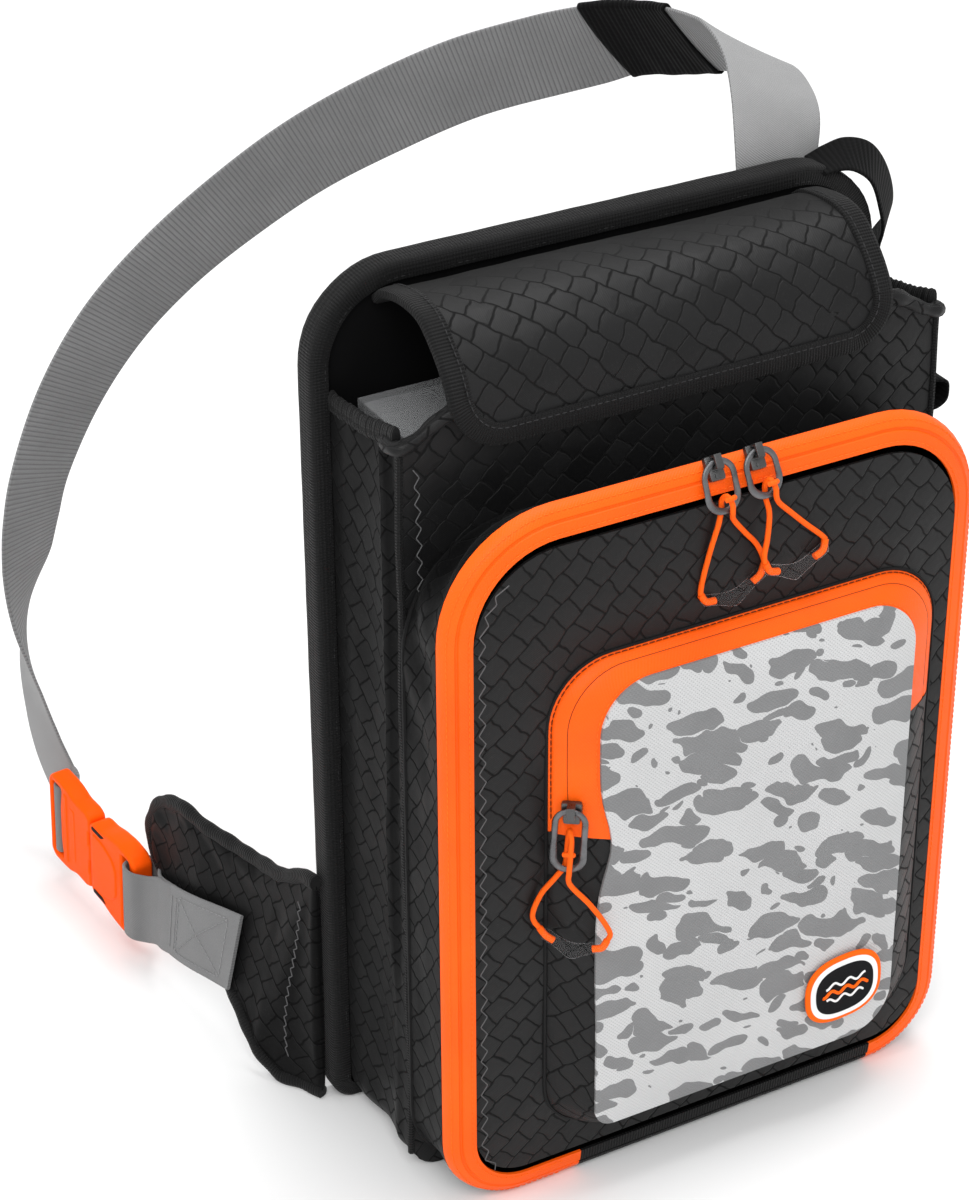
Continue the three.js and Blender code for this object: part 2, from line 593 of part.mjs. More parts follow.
// side-release buckle: the half with the prongs holds the strap, the other holds the sewn tab
const buckleAlong = tabNear.clone().sub(buckleEnd).normalize();
const buckleDown = v3(0, 0, -1).addScaledVector(buckleAlong, buckleAlong.z).normalize();
const buckleOut = buckleDown.clone().cross(buckleAlong).normalize();
const buckleFrame = new THREE.Matrix4().makeBasis(buckleAlong, buckleDown.clone().negate(), buckleOut).setPosition(buckleEnd);
const buckleThick = 9;
const buckleHalf = webbing / 2 + 5;
function slab(profile, thick) {
  const shape = new THREE.Shape(profile.map(([x, y]) => new THREE.Vector2(x, y)));
  const bevel = 1.2;
  const body = new THREE.ExtrudeGeometry(shape, {
    depth: thick - 2 * bevel, bevelEnabled: true, bevelThickness: bevel, bevelSize: bevel, bevelOffset: -bevel, bevelSegments: 1,
  });
  body.translate(0, 0, -thick / 2 + bevel);
  return body;
}
const mirrored = (half) => [...half, ...half.slice().reverse().map(([x, y]) => [x, -y])];
const slotHalf = webbing / 2 + 1;
const deep = 20;
{
  const male = slab(mirrored([
    [0, -buckleHalf + 4], [3, -buckleHalf + 0.5], [9, -buckleHalf], [17, -buckleHalf + 0.5], [25, -buckleHalf + 3], [34, -buckleHalf + 2.5], [38, -buckleHalf + 4.5],
  ]), buckleThick);
  const body = cutBoxes(male, [
    [[4.2, -slotHalf, -deep], [11.2, slotHalf, deep]],
    [[27, -12, -deep], [40, -4, deep]],
    [[27, 4, -deep], [40, 12, deep]],
  ]);
  body.applyMatrix4(buckleFrame);
  add('buckle_male', body, 'orange');
  const female = slab(mirrored([
    [38.4, -buckleHalf + 5], [46, -buckleHalf + 2.5], [56, -buckleHalf + 1], [66, -buckleHalf], [75, -buckleHalf + 1], [79, -buckleHalf + 5],
  ]), buckleThick + 1);
  const shell = cutBoxes(female, [
    [[67.5, -slotHalf, -deep], [74.2, slotHalf, deep]],
    [[38, -14, -2.6], [60, 14, 2.6]],
  ]);
  shell.applyMatrix4(buckleFrame);
  add('buckle_female', shell, 'orange');
}
// the webbing tab: out of the buckle's slot and sewn flat on the wing's outer face
{
  const farY = wingRootY + 0.36 * wingLength;
  const far = { top: v3(0, farY, 0.604 * wingTall), low: v3(0, farY + 1, 0.278 * wingTall) };
  const clear = play + strapThick / 2;
  far.top.x = wingFace(far.top.y, far.top.z) - clear;
  far.low.x = wingFace(far.low.y, far.low.z) - clear;
  const exit = (d, out) => v3(d, 0, out).applyMatrix4(buckleFrame);
  const near = [exit(70.8, 1.5), exit(71.0, -3), exit(73.2, -6.2), exit(76, -6.8), exit(81, -6.6)];
  const half = webbing / 2;
  const stations = near.map((p) => [-half, half].map((w) => p.clone().addScaledVector(buckleDown, w)));
  const start = stations[stations.length - 1];
  for (const t of [0.15, 0.3, 0.45, 0.6, 0.8, 1]) {
    const pair = [start[0].clone().lerp(far.top, t), start[1].clone().lerp(far.low, t)];
    const needed = [0.1, 0.5, 0.9].map((u) => {
      const p = pair[0].clone().lerp(pair[1], u);
      return t < 1 && p.z > 0.3 * wingTall ? wingFace(p.y, p.z) - clear - 0.3 - p.x : 0;
    });
    const push = Math.min(0, ...needed);
    stations.push(pair.map((p) => p.add(v3(push, 0, 0))));
  }
  const grid = (h) => stations.map(([a, b], i) => {
    const ends = [stations[Math.max(i - 1, 0)], stations[Math.min(i + 1, stations.length - 1)]];
    const along = ends[1][0].clone().add(ends[1][1]).sub(ends[0][0]).sub(ends[0][1]).normalize();
    const out = b.clone().sub(a).cross(along).normalize();
    return [0, 0.5, 1].map((t) => a.clone().lerp(b, t).addScaledVector(out, h));
  });
  add('buckle_tab', wall(grid(strapThick / 2), grid(-strapThick / 2)), 'webbing');
}

// grab loop: ribbed webbing over the panel's top right corner
{
  const top = panelHeight + 1.2;
  const side = halfPanel + 1.2;
  const path = [
    { x: side - 18.5, z: top, near: 0, far: 0 }, { x: side - 11, z: top - 0.5, near: 0, far: 4 },
    { x: side - 2, z: top - 9, near: 1, far: 9 }, { x: side + 3.5, z: top - 23, near: 1, far: 12 },
    { x: side + 5.5, z: top - 37, near: 1, far: 14 }, { x: side + 4, z: top - 50, near: 1, far: 12 },
    { x: side, z: top - 62, near: 0, far: 0 },
  ];
  const out = (x, z) => v3(x - (halfPanel - 38), 0, z - (panelHeight - 38)).normalize();
  const curve = (key, y) => new THREE.CatmullRomCurve3(path.map((p) => v3(p.x, y, p.z).addScaledVector(out(p.x, p.z), p[key])), false, 'centripetal');
  const front = curve('near', backY - 13);
  const back = curve('far', backY + 4);
  const steps = 16;
  const grid = (h) => Array.from({ length: steps + 1 }, (_, k) => {
    const a = front.getPoint(k / steps);
    const b = back.getPoint(k / steps);
    return [a, a.clone().lerp(b, 0.5), b].map((p) => p.clone().addScaledVector(out(p.x, p.z), h));
  });
  add('grab_loop', wall(grid(0.75), grid(-0.75)), 'black');
}

// small folded tab on the sleeve's right corner
{
  const x = sleeveHalf + play;
  const body = new THREE.BoxGeometry(9, 3.4, 13);
  body.translate(x + 4.5, sleeveFrontY + 6, 0.78 * panelHeight);
  add('side_tab', body, 'black');
}

// tackle case standing in the sleeve: a divided tray and its lid
{
  const halfCase = 0.454 * bagWidth;
  const low = cloth + 0.85;
  const high = 0.868 * panelHeight;
  const back = sleeveBackY - play - 1.6;
  const front = sleeveFrontY + cloth + play + 4;
  const lidThick = 2.4;
  const wallThick = 1.8;
  const tray = new THREE.BoxGeometry(2 * halfCase, back - front - lidThick - play, high - low);
  tray.translate(0, (back + front + lidThick + play) / 2, (low + high) / 2);
  const cells = [];
  const across = 3;
  const upward = 4;
  const cellX = (2 * halfCase - wallThick) / across;
  const cellZ = (high - low - wallThick) / upward;
  for (let i = 0; i < across; i++) {
    for (let k = 0; k < upward; k++) {
      const x = -halfCase + wallThick + i * cellX;
      const z = low + wallThick + k * cellZ;
      cells.push([[x, front - 5, z], [x + cellX - wallThick, back - wallThick, z + cellZ - wallThick]]);
    }
  }
  add('tackle_tray', cutBoxes(tray, cells), 'clear');
  const lid = new THREE.BoxGeometry(2 * halfCase, lidThick, high - low);
  lid.translate(0, front + lidThick / 2, (low + high) / 2);
  add('tackle_lid', lid, 'clear');
}

// zip pulls: a slider, a metal ring held under the slider's bridge, a cord through the ring and
// a clear grip that joins the cord's two ends
const cordRadius = 1.1;
const wire = 0.9;
const sliderThick = 3;
function tube(points, radius, sides, steps, closed = false) {
  const curve = new THREE.CatmullRomCurve3(points, closed, 'centripetal');
  const count = closed ? steps : steps + 1;
  const frames = curve.computeFrenetFrames(steps, closed);
  const sections = [];
  for (let k = 0; k < count; k++) {
    const centre = curve.getPointAt(k / steps);
    sections.push(Array.from({ length: sides }, (_, i) => {
      const a = (2 * Math.PI * i) / sides;
      return centre.clone().addScaledVector(frames.normals[k], radius * Math.cos(a))
        .addScaledVector(frames.binormals[k], radius * Math.sin(a));
    }));
  }
  return loft(sections, closed);
}
const cord = (points) => tube(points, cordRadius, 5, 34);
const gripShape = [
  { u: -1, top: -2.1, low: 2.1, half: 2.0 }, { u: -0.8, top: -1.6, low: 3.0, half: 2.0 },
  { u: -0.45, top: 0.3, low: 5.6, half: 1.5 }, { u: 0, top: 1.5, low: 9.0, half: 1.2 },
  { u: 0.45, top: 0.3, low: 5.6, half: 1.5 }, { u: 0.8, top: -1.6, low: 3.0, half: 2.0 },
  { u: 1, top: -2.1, low: 2.1, half: 2.0 },
];
function grip(a, b, facing) {
  const middle = a.clone().lerp(b, 0.5);
  const half = a.distanceTo(b) / 2;
  const across = b.clone().sub(a).normalize();
  const down = across.clone().cross(facing).normalize();
  if (down.z > 0) down.negate();
  const out = across.clone().cross(down).normalize();
  return loft(gripShape.map(({ u, top, low, half: h }) => {
    const c = 0.35 * (low - top);
    return [[top, -h * 0.4], [top, h * 0.4], [top + c * 0.5, h], [low - c * 0.5, h], [low, h * 0.4],
      [low, -h * 0.4], [low - c * 0.5, -h], [top + c * 0.5, -h]].map(([v, w]) => middle.clone()
      .addScaledVector(across, u * half).addScaledVector(down, v).addScaledVector(out, w));
  }));
}
// the ring hangs from its top point to its bottom point
function ring(top, bottom, wide, facing) {
  const up = top.clone().sub(bottom);
  const tall = up.length() / 2;
  up.normalize();
  const side = up.clone().cross(facing).normalize();
  const middle = top.clone().lerp(bottom, 0.5);
  const half = wide / 2;
  const points = [];
  for (let i = 0; i < 16; i++) {
    const a = (2 * Math.PI * i) / 16;
    const straight = Math.sign(Math.round(Math.sin(a) * 1000)) * (tall - half);
    points.push(middle.clone().addScaledVector(side, half * Math.cos(a)).addScaledVector(up, half * Math.sin(a) + straight));
  }
  return tube(points, wire, 5, 20, true);
}
// slider in its own frame: x down the hang, y across it, z out of the cloth
const bar = { down: -2.2, out: sliderThick / 2 + play + wire };
function slider(seat, down, out) {
  const long = 4.8;
  const wide = 3.8;
  const body = toSolid(slab(mirrored([[-long, -wide + 1], [-long + 1, -wide], [long - 2, -wide], [long, -wide + 1.6]]), sliderThick));
  const block = (low, high) => {
    const box = new THREE.BoxGeometry(...high.map((h, k) => h - low[k]));
    box.translate(...high.map((h, k) => (h + low[k]) / 2));
    return toSolid(box);
  };
  const roof = bar.out + wire + play;
  const bridge = block([-long + 0.2, -1.5, sliderThick / 2 - 0.4], [1.2, 1.5, roof + 1])
    .subtract(block([bar.down - wire - 0.6, -3, sliderThick / 2 - 1], [bar.down + wire + 0.6, 3, roof]));
  const side = out.clone().cross(down);
  const geometry = fromSolid(body.add(bridge));
  geometry.applyMatrix4(new THREE.Matrix4().makeBasis(down, side, out).setPosition(seat));
  return geometry;
}
{
  // the main sliders ride on the band's upper facet, above the front panel
  const facet = [1, 2].map((k) => v3(0, mainEdgeY - bandOuter[k].y, mainHeight - bandOuter[k].d));
  const down = facet[1].clone().sub(facet[0]).normalize();
  const out = v3(0, down.z, -down.y);
  const seat = facet[0].clone().lerp(facet[1], 0.15).addScaledVector(out, play + 0.15 + sliderThick / 2);
  const front = v3(0, -1, 0);
  const at = (x) => ([dx, z, y]) => v3(x + dx, panelFace - play - cordRadius - y, mainHeight - z);
  const leftX = -0.02 * bagWidth;
  const rightX = leftX + 18;
  const place = (name, x, foot, strands, ends, lift) => {
    const here = seat.clone().setX(x);
    const top = here.clone().addScaledVector(down, bar.down).addScaledVector(out, bar.out);
    add(`${name}_slider`, slider(here, down, out), 'metal');
    add(`${name}_ring`, ring(top, at(x)([foot.x, foot.z, 2.55]), 12.6, front), 'metal');
    add(`${name}_cord`, cord(strands.map(at(x))), 'orange');
    add(`${name}_grip`, grip(...ends.map(at(x)), lift), 'clear');
  };
  place('main_left', leftX, { x: 1.8, z: 16.4 }, [
    [-6.6, 51.4, 0], [-6.6, 49.4, 0], [-5.9, 45, 0], [-3, 33.5, 0], [0.4, 22, 0.1], [1.2, 16.4, 0.1], [1.1, 12.8, 0.3],
    [1.9, 10.4, 2.4], [2.8, 12.8, 4.9], [3.1, 16.4, 5], [4.6, 20.2, 3], [11.6, 29, 0.6], [17.3, 35.7, 0], [20.4, 41.5, 0],
    [21.6, 45.4, 0],
  ], [[-6.2, 54, 0.9], [20.6, 48.4, 0.9]], front);
  place('main_right', rightX, { x: 2.4, z: 14.6 }, [
    [0.4, 42, 5.3], [0, 39.2, 5], [1.5, 32.3, 4.3], [3, 22, 2.5], [2.6, 17.5, 0.6], [2.4, 14.6, 0.1], [2.2, 11, 0.3],
    [2.9, 8.4, 2.4], [3.8, 11, 4.9], [4.2, 14.6, 5], [6.5, 18.5, 3.4], [13.4, 25.5, 1.8], [21.1, 33, 1], [28.5, 39.8, 0.4],
    [30.9, 42.4, 0.3],
  ], [[1.2, 45.4, 5.6], [30.6, 45.6, 1.4]], front);
}
{
  // the pocket's pull hangs on the sloping left side, its grip across the corner
  const across = v3(faceBox.left - pocketBox.left, pocketRimY - pocketBaseY, 0).normalize();
  const out = v3(across.y, -across.x, 0);
  const down = v3(0, 0, -1);
  const top = pocketBox.bottom + 0.722 * (pocketBox.top - pocketBox.bottom);
  const at = ([x, y, z]) => v3(pocketBox.left + x, pocketBaseY - y, top - z);
  const on = (s, o, z) => at([0, 0, z]).addScaledVector(across, s).addScaledVector(out, 0.8 + o);
  const seat = on(10, play + sliderThick / 2, 0);
  const hook = seat.clone().addScaledVector(down, bar.down).addScaledVector(out, bar.out);
  add('pocket_slider', slider(seat, down, out), 'metal');
  add('pocket_ring', ring(hook, on(8.5, 3.9, 25), 11.5, out), 'metal');
  add('pocket_cord', cord([
    at([-4.2, 2.6, 53.2]), at([-6.2, 2.2, 50]), at([-6.9, 2, 46.5]), at([-3.6, 2.8, 37.4]), at([1.2, 5, 30.2]), on(7.4, 1.5, 25),
    on(8.2, 1.6, 18), on(8.8, 1.8, 10.6), on(9.6, 3.2, 7.6), on(10.4, 4.8, 10.6), on(10, 5.7, 18), on(9.6, 6.4, 25),
    on(9.6, 5.6, 30), at([11.6, 14.2, 40.9]), at([17.1, 17, 50.7]), at([18.7, 17.6, 55.5]), at([17.5, 17.4, 57.6]),
  ]), 'orange');
  add('pocket_grip', grip(at([-3.4, 3.8, 55.4]), at([16.3, 18.2, 59.9]), out), 'clear');
}

export default bag;
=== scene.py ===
# Looks of the fishing tackle sling bag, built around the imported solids.
# Lengths in this file are millimetres and become metres where a mesh is made.
import math

import bmesh
import bpy
import numpy as np
from mathutils import Matrix, Vector, noise


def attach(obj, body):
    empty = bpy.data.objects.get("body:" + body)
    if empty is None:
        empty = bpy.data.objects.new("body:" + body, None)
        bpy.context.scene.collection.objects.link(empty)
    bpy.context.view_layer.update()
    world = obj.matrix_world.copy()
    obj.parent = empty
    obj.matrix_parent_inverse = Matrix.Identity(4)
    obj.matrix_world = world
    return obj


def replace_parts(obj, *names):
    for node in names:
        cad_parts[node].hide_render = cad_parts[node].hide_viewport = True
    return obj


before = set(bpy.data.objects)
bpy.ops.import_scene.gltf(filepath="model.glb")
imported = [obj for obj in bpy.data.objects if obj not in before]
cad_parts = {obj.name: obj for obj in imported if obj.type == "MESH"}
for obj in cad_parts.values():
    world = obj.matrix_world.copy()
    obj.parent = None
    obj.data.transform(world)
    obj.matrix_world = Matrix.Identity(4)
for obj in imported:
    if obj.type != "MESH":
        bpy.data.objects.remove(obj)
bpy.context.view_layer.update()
scene = bpy.context.scene
MM = 0.001

# sizes shared with the solids
HALF_BAG, HALF_PANEL, PANEL_TOP, MAIN_TOP = 119.0, 126.0, 380.0, 314.0
PANEL_CORNER, HALF_WEBBING = 37.8, 19.0
SLEEVE_BACK, SLEEVE_FRONT = 38.35, -15.95
MAIN_BACK, MAIN_EDGE, PANEL_FACE = -16.3, -43.3, -51.7
POCKET_BASE, POCKET_RIM, FACE_Y = -52.05, -63.7, -67.05


def grid(values):
    return np.asarray(values, float)


# camera at the photograph's angle

def make_camera():
    data = bpy.data.cameras.new("camera")
    data.lens = 96.0
    data.sensor_width = 36.0
    data.sensor_fit = "AUTO"
    data.clip_start = 0.05
    data.clip_end = 20.0
    camera = bpy.data.objects.new("camera", data)
    right = Vector((0.87421182, -0.48552515, -0.00436108))
    up = Vector((0.24971231, 0.44188004, 0.86161812))
    back = right.cross(up)
    turn = Matrix((right, up, back)).transposed().to_4x4()
    camera.matrix_world = Matrix.Translation((-0.58199, -0.91922, 0.86995)) @ turn
    scene.collection.objects.link(camera)
    scene.camera = camera


make_camera()


# node helpers

class Nodes:
    """Adds nodes to one tree, and links them by name."""

    def __init__(self, tree):
        self.tree = tree

    def add(self, kind, inputs=(), **settings):
        node = self.tree.nodes.new(kind)
        for key, value in settings.items():
            setattr(node, key, value)
        for key, value in dict(inputs).items():
            self.put(node.inputs[key], value)
        return node

    def put(self, socket, value):
        if isinstance(value, bpy.types.NodeSocket):
            self.tree.links.new(value, socket)
        else:
            socket.default_value = value

    def math(self, operation, a, b=0.0, c=0.0):
        return self.add("ShaderNodeMath", {0: a, 1: b, 2: c}, operation=operation).outputs[0]

    def vector(self, operation, a, b=(0, 0, 0)):
        return self.add("ShaderNodeVectorMath", {0: a, 1: b}, operation=operation)

    def scaled(self, place, size):
        """A place measured in steps of a size."""
        node = self.vector("SCALE", place)
        self.put(node.inputs["Scale"], self.math("DIVIDE", 1.0, size))
        return node.outputs[0]

    def mix(self, factor, a, b):
        node = self.add("ShaderNodeMix", data_type="RGBA")
        self.put(node.inputs["Factor"], factor)
        self.put(node.inputs["A"], a)
        self.put(node.inputs["B"], b)
        return node.outputs["Result"]

    def ramp(self, value, low, high, to_low=0.0, to_high=1.0):
        node = self.add("ShaderNodeMapRange", {
            "Value": value, "From Min": low, "From Max": high, "To Min": to_low, "To Max": to_high,
        })
        return node.outputs["Result"]


def group(name, inputs, outputs):
    tree = bpy.data.node_groups.new(name, "ShaderNodeTree")
    for socket, (kind, value) in inputs.items():
        made = tree.interface.new_socket(socket, in_out="INPUT", socket_type=kind)
        if value is not None:
            made.default_value = value
    for socket, kind in outputs.items():
        tree.interface.new_socket(socket, in_out="OUTPUT", socket_type=kind)
    nodes = Nodes(tree)
    start = nodes.add("NodeGroupInput")
    end = nodes.add("NodeGroupOutput")
    return nodes, start.outputs, end.inputs


FLOAT, VECTOR = "NodeSocketFloat", "NodeSocketVector"


def make_cells():
    """Square ripstop cells set on their corners in staggered rows, with dark pressed lines between them."""
    n, given, out = group("ripstop_cells", {
        "Place": (VECTOR, None), "Cell": (FLOAT, 0.0088), "Line": (FLOAT, 0.06), "Waver": (FLOAT, 0.11),
    }, {"Lines": FLOAT, "Shade": FLOAT, "Height": FLOAT})
    place = n.scaled(given["Place"], given["Cell"])
    wander = n.add("ShaderNodeTexNoise", {"Vector": place, "Scale": 0.8, "Detail": 2.0})
    shift = n.vector("SUBTRACT", wander.outputs["Color"], (0.5, 0.5, 0.5))
    push = n.vector("SCALE", shift.outputs[0])
    n.put(push.inputs["Scale"], n.math("MULTIPLY", given["Waver"], 5.0))
    point = n.vector("ADD", place, push.outputs[0]).outputs[0]
    u = n.vector("DOT_PRODUCT", point, (0.7314, 0.6820, 0)).outputs["Value"]
    v = n.vector("DOT_PRODUCT", point, (-0.6820, 0.7314, 0)).outputs["Value"]
    row = n.math("FLOOR", v)
    u = n.math("MULTIPLY_ADD", row, 0.42, u)
    far_u = n.math("ABSOLUTE", n.math("SUBTRACT", n.math("FRACT", u), 0.5))
    far_v = n.math("ABSOLUTE", n.math("SUBTRACT", n.math("FRACT", v), 0.5))
    rim = n.math("SUBTRACT", 0.5, n.math("SMOOTH_MAX", far_u, far_v, 0.12))
    lines = n.ramp(rim, n.math("MULTIPLY", given["Line"], 0.3), given["Line"], 1.0, 0.0)
    spot = n.add("ShaderNodeCombineXYZ", {"X": n.math("FLOOR", u), "Y": row})
    shade = n.add("ShaderNodeTexWhiteNoise", {"Vector": spot.outputs[0]})
    dome = n.ramp(rim, 0.0, 0.3)
    n.put(out["Lines"], lines)
    n.put(out["Shade"], shade.outputs["Value"])
    n.put(out["Height"], n.math("SUBTRACT", n.math("MULTIPLY", dome, 0.3), n.math("MULTIPLY", lines, 0.5)))
    return n.tree


def make_weave():
    """Plain woven threads, over and under."""
    n, given, out = group("woven_threads", {
        "Place": (VECTOR, None), "Across": (FLOAT, 0.0006), "Along": (FLOAT, 0.0006),
    }, {"Height": FLOAT})
    parts = n.add("ShaderNodeSeparateXYZ", {0: given["Place"]})
    x = n.math("MULTIPLY", n.math("DIVIDE", parts.outputs["X"], given["Across"]), math.pi)
    y = n.math("MULTIPLY", n.math("DIVIDE", parts.outputs["Y"], given["Along"]), math.pi)
    over = n.math("MULTIPLY", n.math("SINE", x), n.math("SINE", y))
    n.put(out["Height"], n.math("MULTIPLY_ADD", over, 0.5, 0.5))
    return n.tree


def make_ribs():
    """Ribs across a tape, with finer threads along it. X of the place runs along the tape."""
    n, given, out = group("tape_ribs", {
        "Place": (VECTOR, None), "Pitch": (FLOAT, 0.0014), "Fine": (FLOAT, 0.0007), "Slant": (FLOAT, 0.0),
    }, {"Height": FLOAT, "Grooves": FLOAT})
    parts = n.add("ShaderNodeSeparateXYZ", {0: given["Place"]})
    along = n.math("MULTIPLY_ADD", parts.outputs["Y"], given["Slant"], parts.outputs["X"])
    wave = n.math("SINE", n.math("MULTIPLY", n.math("DIVIDE", along, given["Pitch"]), 2 * math.pi))
    threads = n.math("DIVIDE", parts.outputs["Y"], given["Fine"])
    fine = n.math("SINE", n.math("MULTIPLY", threads, 2 * math.pi))
    height = n.math("MULTIPLY_ADD", wave, 0.4, n.math("MULTIPLY_ADD", fine, 0.12, 0.5))
    n.put(out["Height"], height)
    n.put(out["Grooves"], n.ramp(wave, -0.3, -1.0))
    return n.tree


def make_wear():
    """Slow changes of tone and fine dust, for any surface."""
    n, given, out = group("slow_wear", {
        "Place": (VECTOR, None), "Size": (FLOAT, 0.05), "Dust": (FLOAT, 0.5),
    }, {"Tone": FLOAT, "Dust": FLOAT, "Grain": FLOAT})
    place = n.scaled(given["Place"], given["Size"])
    slow = n.add("ShaderNodeTexNoise", {"Vector": place, "Scale": 1.0, "Detail": 4.0, "Roughness": 0.55})
    specks = n.add("ShaderNodeTexNoise", {"Vector": place, "Scale": 60.0, "Detail": 2.0})
    grain = n.add("ShaderNodeTexNoise", {"Vector": place, "Scale": 180.0, "Detail": 1.0})
    n.put(out["Tone"], n.ramp(slow.outputs["Fac"], 0.3, 0.7))
    n.put(out["Dust"], n.math("MULTIPLY", n.ramp(specks.outputs["Fac"], 0.62, 0.75), given["Dust"]))
    n.put(out["Grain"], grain.outputs["Fac"])
    return n.tree


def make_camouflage():
    """Generic two-tone camouflage: long rounded blotches in two sizes."""
    n, given, out = group("blotches", {"Place": (VECTOR, None), "Size": (FLOAT, 0.036)},
                          {"Mask": FLOAT, "Faint": FLOAT})
    place = n.scaled(given["Place"], given["Size"])
    turned = n.add("ShaderNodeMapping", {"Vector": place, "Rotation": (0, 0, 0.32)}, vector_type="POINT")
    warp = n.add("ShaderNodeTexNoise", {"Vector": turned.outputs[0], "Scale": 1.6, "Detail": 2.0})
    bent = n.vector("ADD", turned.outputs[0],
                    n.vector("MULTIPLY", warp.outputs["Color"], (0.9, 0.55, 0)).outputs[0])
    long_shape = n.vector("MULTIPLY", bent.outputs[0], (1.25, 3.1, 1.0))
    big = n.add("ShaderNodeTexVoronoi", {"Vector": long_shape.outputs[0], "Scale": 1.0, "Randomness": 1.0},
                voronoi_dimensions="2D", feature="F1")
    gate = n.add("ShaderNodeSeparateColor", {0: big.outputs["Color"]})
    size = n.ramp(gate.outputs[0], 0.0, 1.0, 0.27, 0.47)
    mask_big = n.math("LESS_THAN", big.outputs["Distance"], size)
    other = n.vector("MULTIPLY", n.vector("ADD", bent.outputs[0], (7.3, 4.1, 0)).outputs[0], (2.6, 3.9, 1.0))
    small = n.add("ShaderNodeTexVoronoi", {"Vector": other.outputs[0], "Scale": 1.0, "Randomness": 1.0},
                  voronoi_dimensions="2D", feature="F1")
    gate_small = n.add("ShaderNodeSeparateColor", {0: small.outputs["Color"]})
    mask_small = n.math("LESS_THAN", small.outputs["Distance"],
                        n.ramp(gate_small.outputs[1], 0.25, 1.0, 0.0, 0.38))
    n.put(out["Mask"], n.math("MAXIMUM", mask_big, mask_small))
    n.put(out["Faint"], warp.outputs["Fac"])
    return n.tree


CELLS, WEAVE, RIBS, WEAR, BLOTCHES = make_cells(), make_weave(), make_ribs(), make_wear(), make_camouflage()


class Material(Nodes):
    """One finish: a Principled shader with its place on the cloth, ready for effects."""

    def __init__(self, name, colour, rough, on_cloth=True, metallic=0.0, **constants):
        self.made = bpy.data.materials.new(name)
        self.made.use_nodes = True
        super().__init__(self.made.node_tree)
        self.shader = self.tree.nodes["Principled BSDF"]
        self.colour = (*colour, 1.0)
        self.shader.inputs["Base Color"].default_value = self.colour
        self.shader.inputs["Roughness"].default_value = rough
        self.shader.inputs["Metallic"].default_value = metallic
        for key, value in constants.items():
            self.shader.inputs[key.replace("_", " ")].default_value = value
        self.object_place = self.add("ShaderNodeTexCoord").outputs["Object"]
        self.place = self.add("ShaderNodeUVMap",
                              uv_map="cloth").outputs["UV"] if on_cloth else self.object_place

    def effect(self, tree, **inputs):
        node = self.add("ShaderNodeGroup", node_tree=tree)
        node.inputs["Place"].default_value = (0, 0, 0)
        self.put(node.inputs["Place"], inputs.pop("Place", self.place))
        for key, value in inputs.items():
            self.put(node.inputs[key], value)
        return node.outputs

    def base(self, value):
        self.put(self.shader.inputs["Base Color"], value)

    def rough(self, value):
        self.put(self.shader.inputs["Roughness"], value)

    def bump(self, heights, distance):
        """heights is a list of (height socket, share of the distance)."""
        total = 0.0
        for height, share in heights:
            total = self.math("MULTIPLY_ADD", height, share, total)
        node = self.add("ShaderNodeBump", {"Strength": 1.0, "Distance": distance, "Height": total})
        self.put(self.shader.inputs["Normal"], node.outputs["Normal"])


def shade(colour, factor):
    return tuple(min(c * factor, 1.0) for c in colour[:3]) + (1.0,)


def ripstop(name, colour=(0.0052, 0.0052, 0.0054), gloss=0.2, mark=0.15, depth=0.0005, plain=None):
    """plain gives the two places down the cloth between which its cells begin to show. Before them the cloth
    is plain, and its colour is painted darker as shade.
    """
    m = Material(name, colour, 0.5, Sheen_Weight=0.02, Sheen_Roughness=0.5, Specular_IOR_Level=gloss)
    cells = m.effect(CELLS, Cell=0.0096)
    threads = m.effect(WEAVE, Across=0.00042, Along=0.00042)
    wear = m.effect(WEAR, Place=m.object_place, Size=0.06, Dust=0.25)
    tone = m.mix(cells["Shade"], shade(m.colour, 0.75), shade(m.colour, 1.55))
    tone = m.mix(m.math("MULTIPLY", wear["Tone"], 0.35), tone, shade(m.colour, 2.0))
    lines, height = cells["Lines"], cells["Height"]
    rough = m.ramp(cells["Shade"], 0, 1, 0.36, 0.5)
    if plain:
        shows = m.ramp(m.add("ShaderNodeSeparateXYZ", {0: m.place}).outputs["Y"], *plain)
        lines, height = m.math("MULTIPLY", lines, shows), m.math("MULTIPLY", height, shows)
        # before its cells show, the flap's colour is painted darker: painted shade on the rear of the flap
        tone = m.mix(shows, shade(m.colour, 0.35), tone)
        rough = m.math("MULTIPLY_ADD", m.math("SUBTRACT", 1.0, shows), 0.35, rough)
    tone = m.mix(lines, tone, shade(m.colour, mark))
    m.base(m.mix(wear["Dust"], tone, (0.03, 0.03, 0.03, 1)))
    m.rough(m.math("MULTIPLY_ADD", lines, 0.4, rough))
    m.bump([(height, 1.0), (threads["Height"], 0.12), (wear["Grain"], 0.05)], depth)
    return m.made


def tape(name, colour, pitch=0.0013, rough=0.72, slant=0.0, depth=0.00035, sheen=0.2, groove=0.45,
         gloss=0.3):
    m = Material(name, colour, rough, Sheen_Weight=sheen, Sheen_Roughness=0.4, Specular_IOR_Level=gloss)
    ribs = m.effect(RIBS, Pitch=pitch, Slant=slant)
    wear = m.effect(WEAR, Place=m.object_place, Size=0.04, Dust=0.2)
    tone = m.mix(wear["Tone"], shade(colour, 0.88), shade(colour, 1.12))
    # darker in the grooves between the ribs: painted shade
    tone = m.mix(ribs["Grooves"], tone, shade(colour, groove))
    m.base(m.mix(wear["Dust"], tone, shade(colour, 1.6)))
    m.bump([(ribs["Height"], 1.0), (wear["Grain"], 0.1)], depth)
    return m.made


ORANGE = (1.0, 0.122, 0.004)
ORANGE_DEEP = (0.92, 0.098, 0.003)


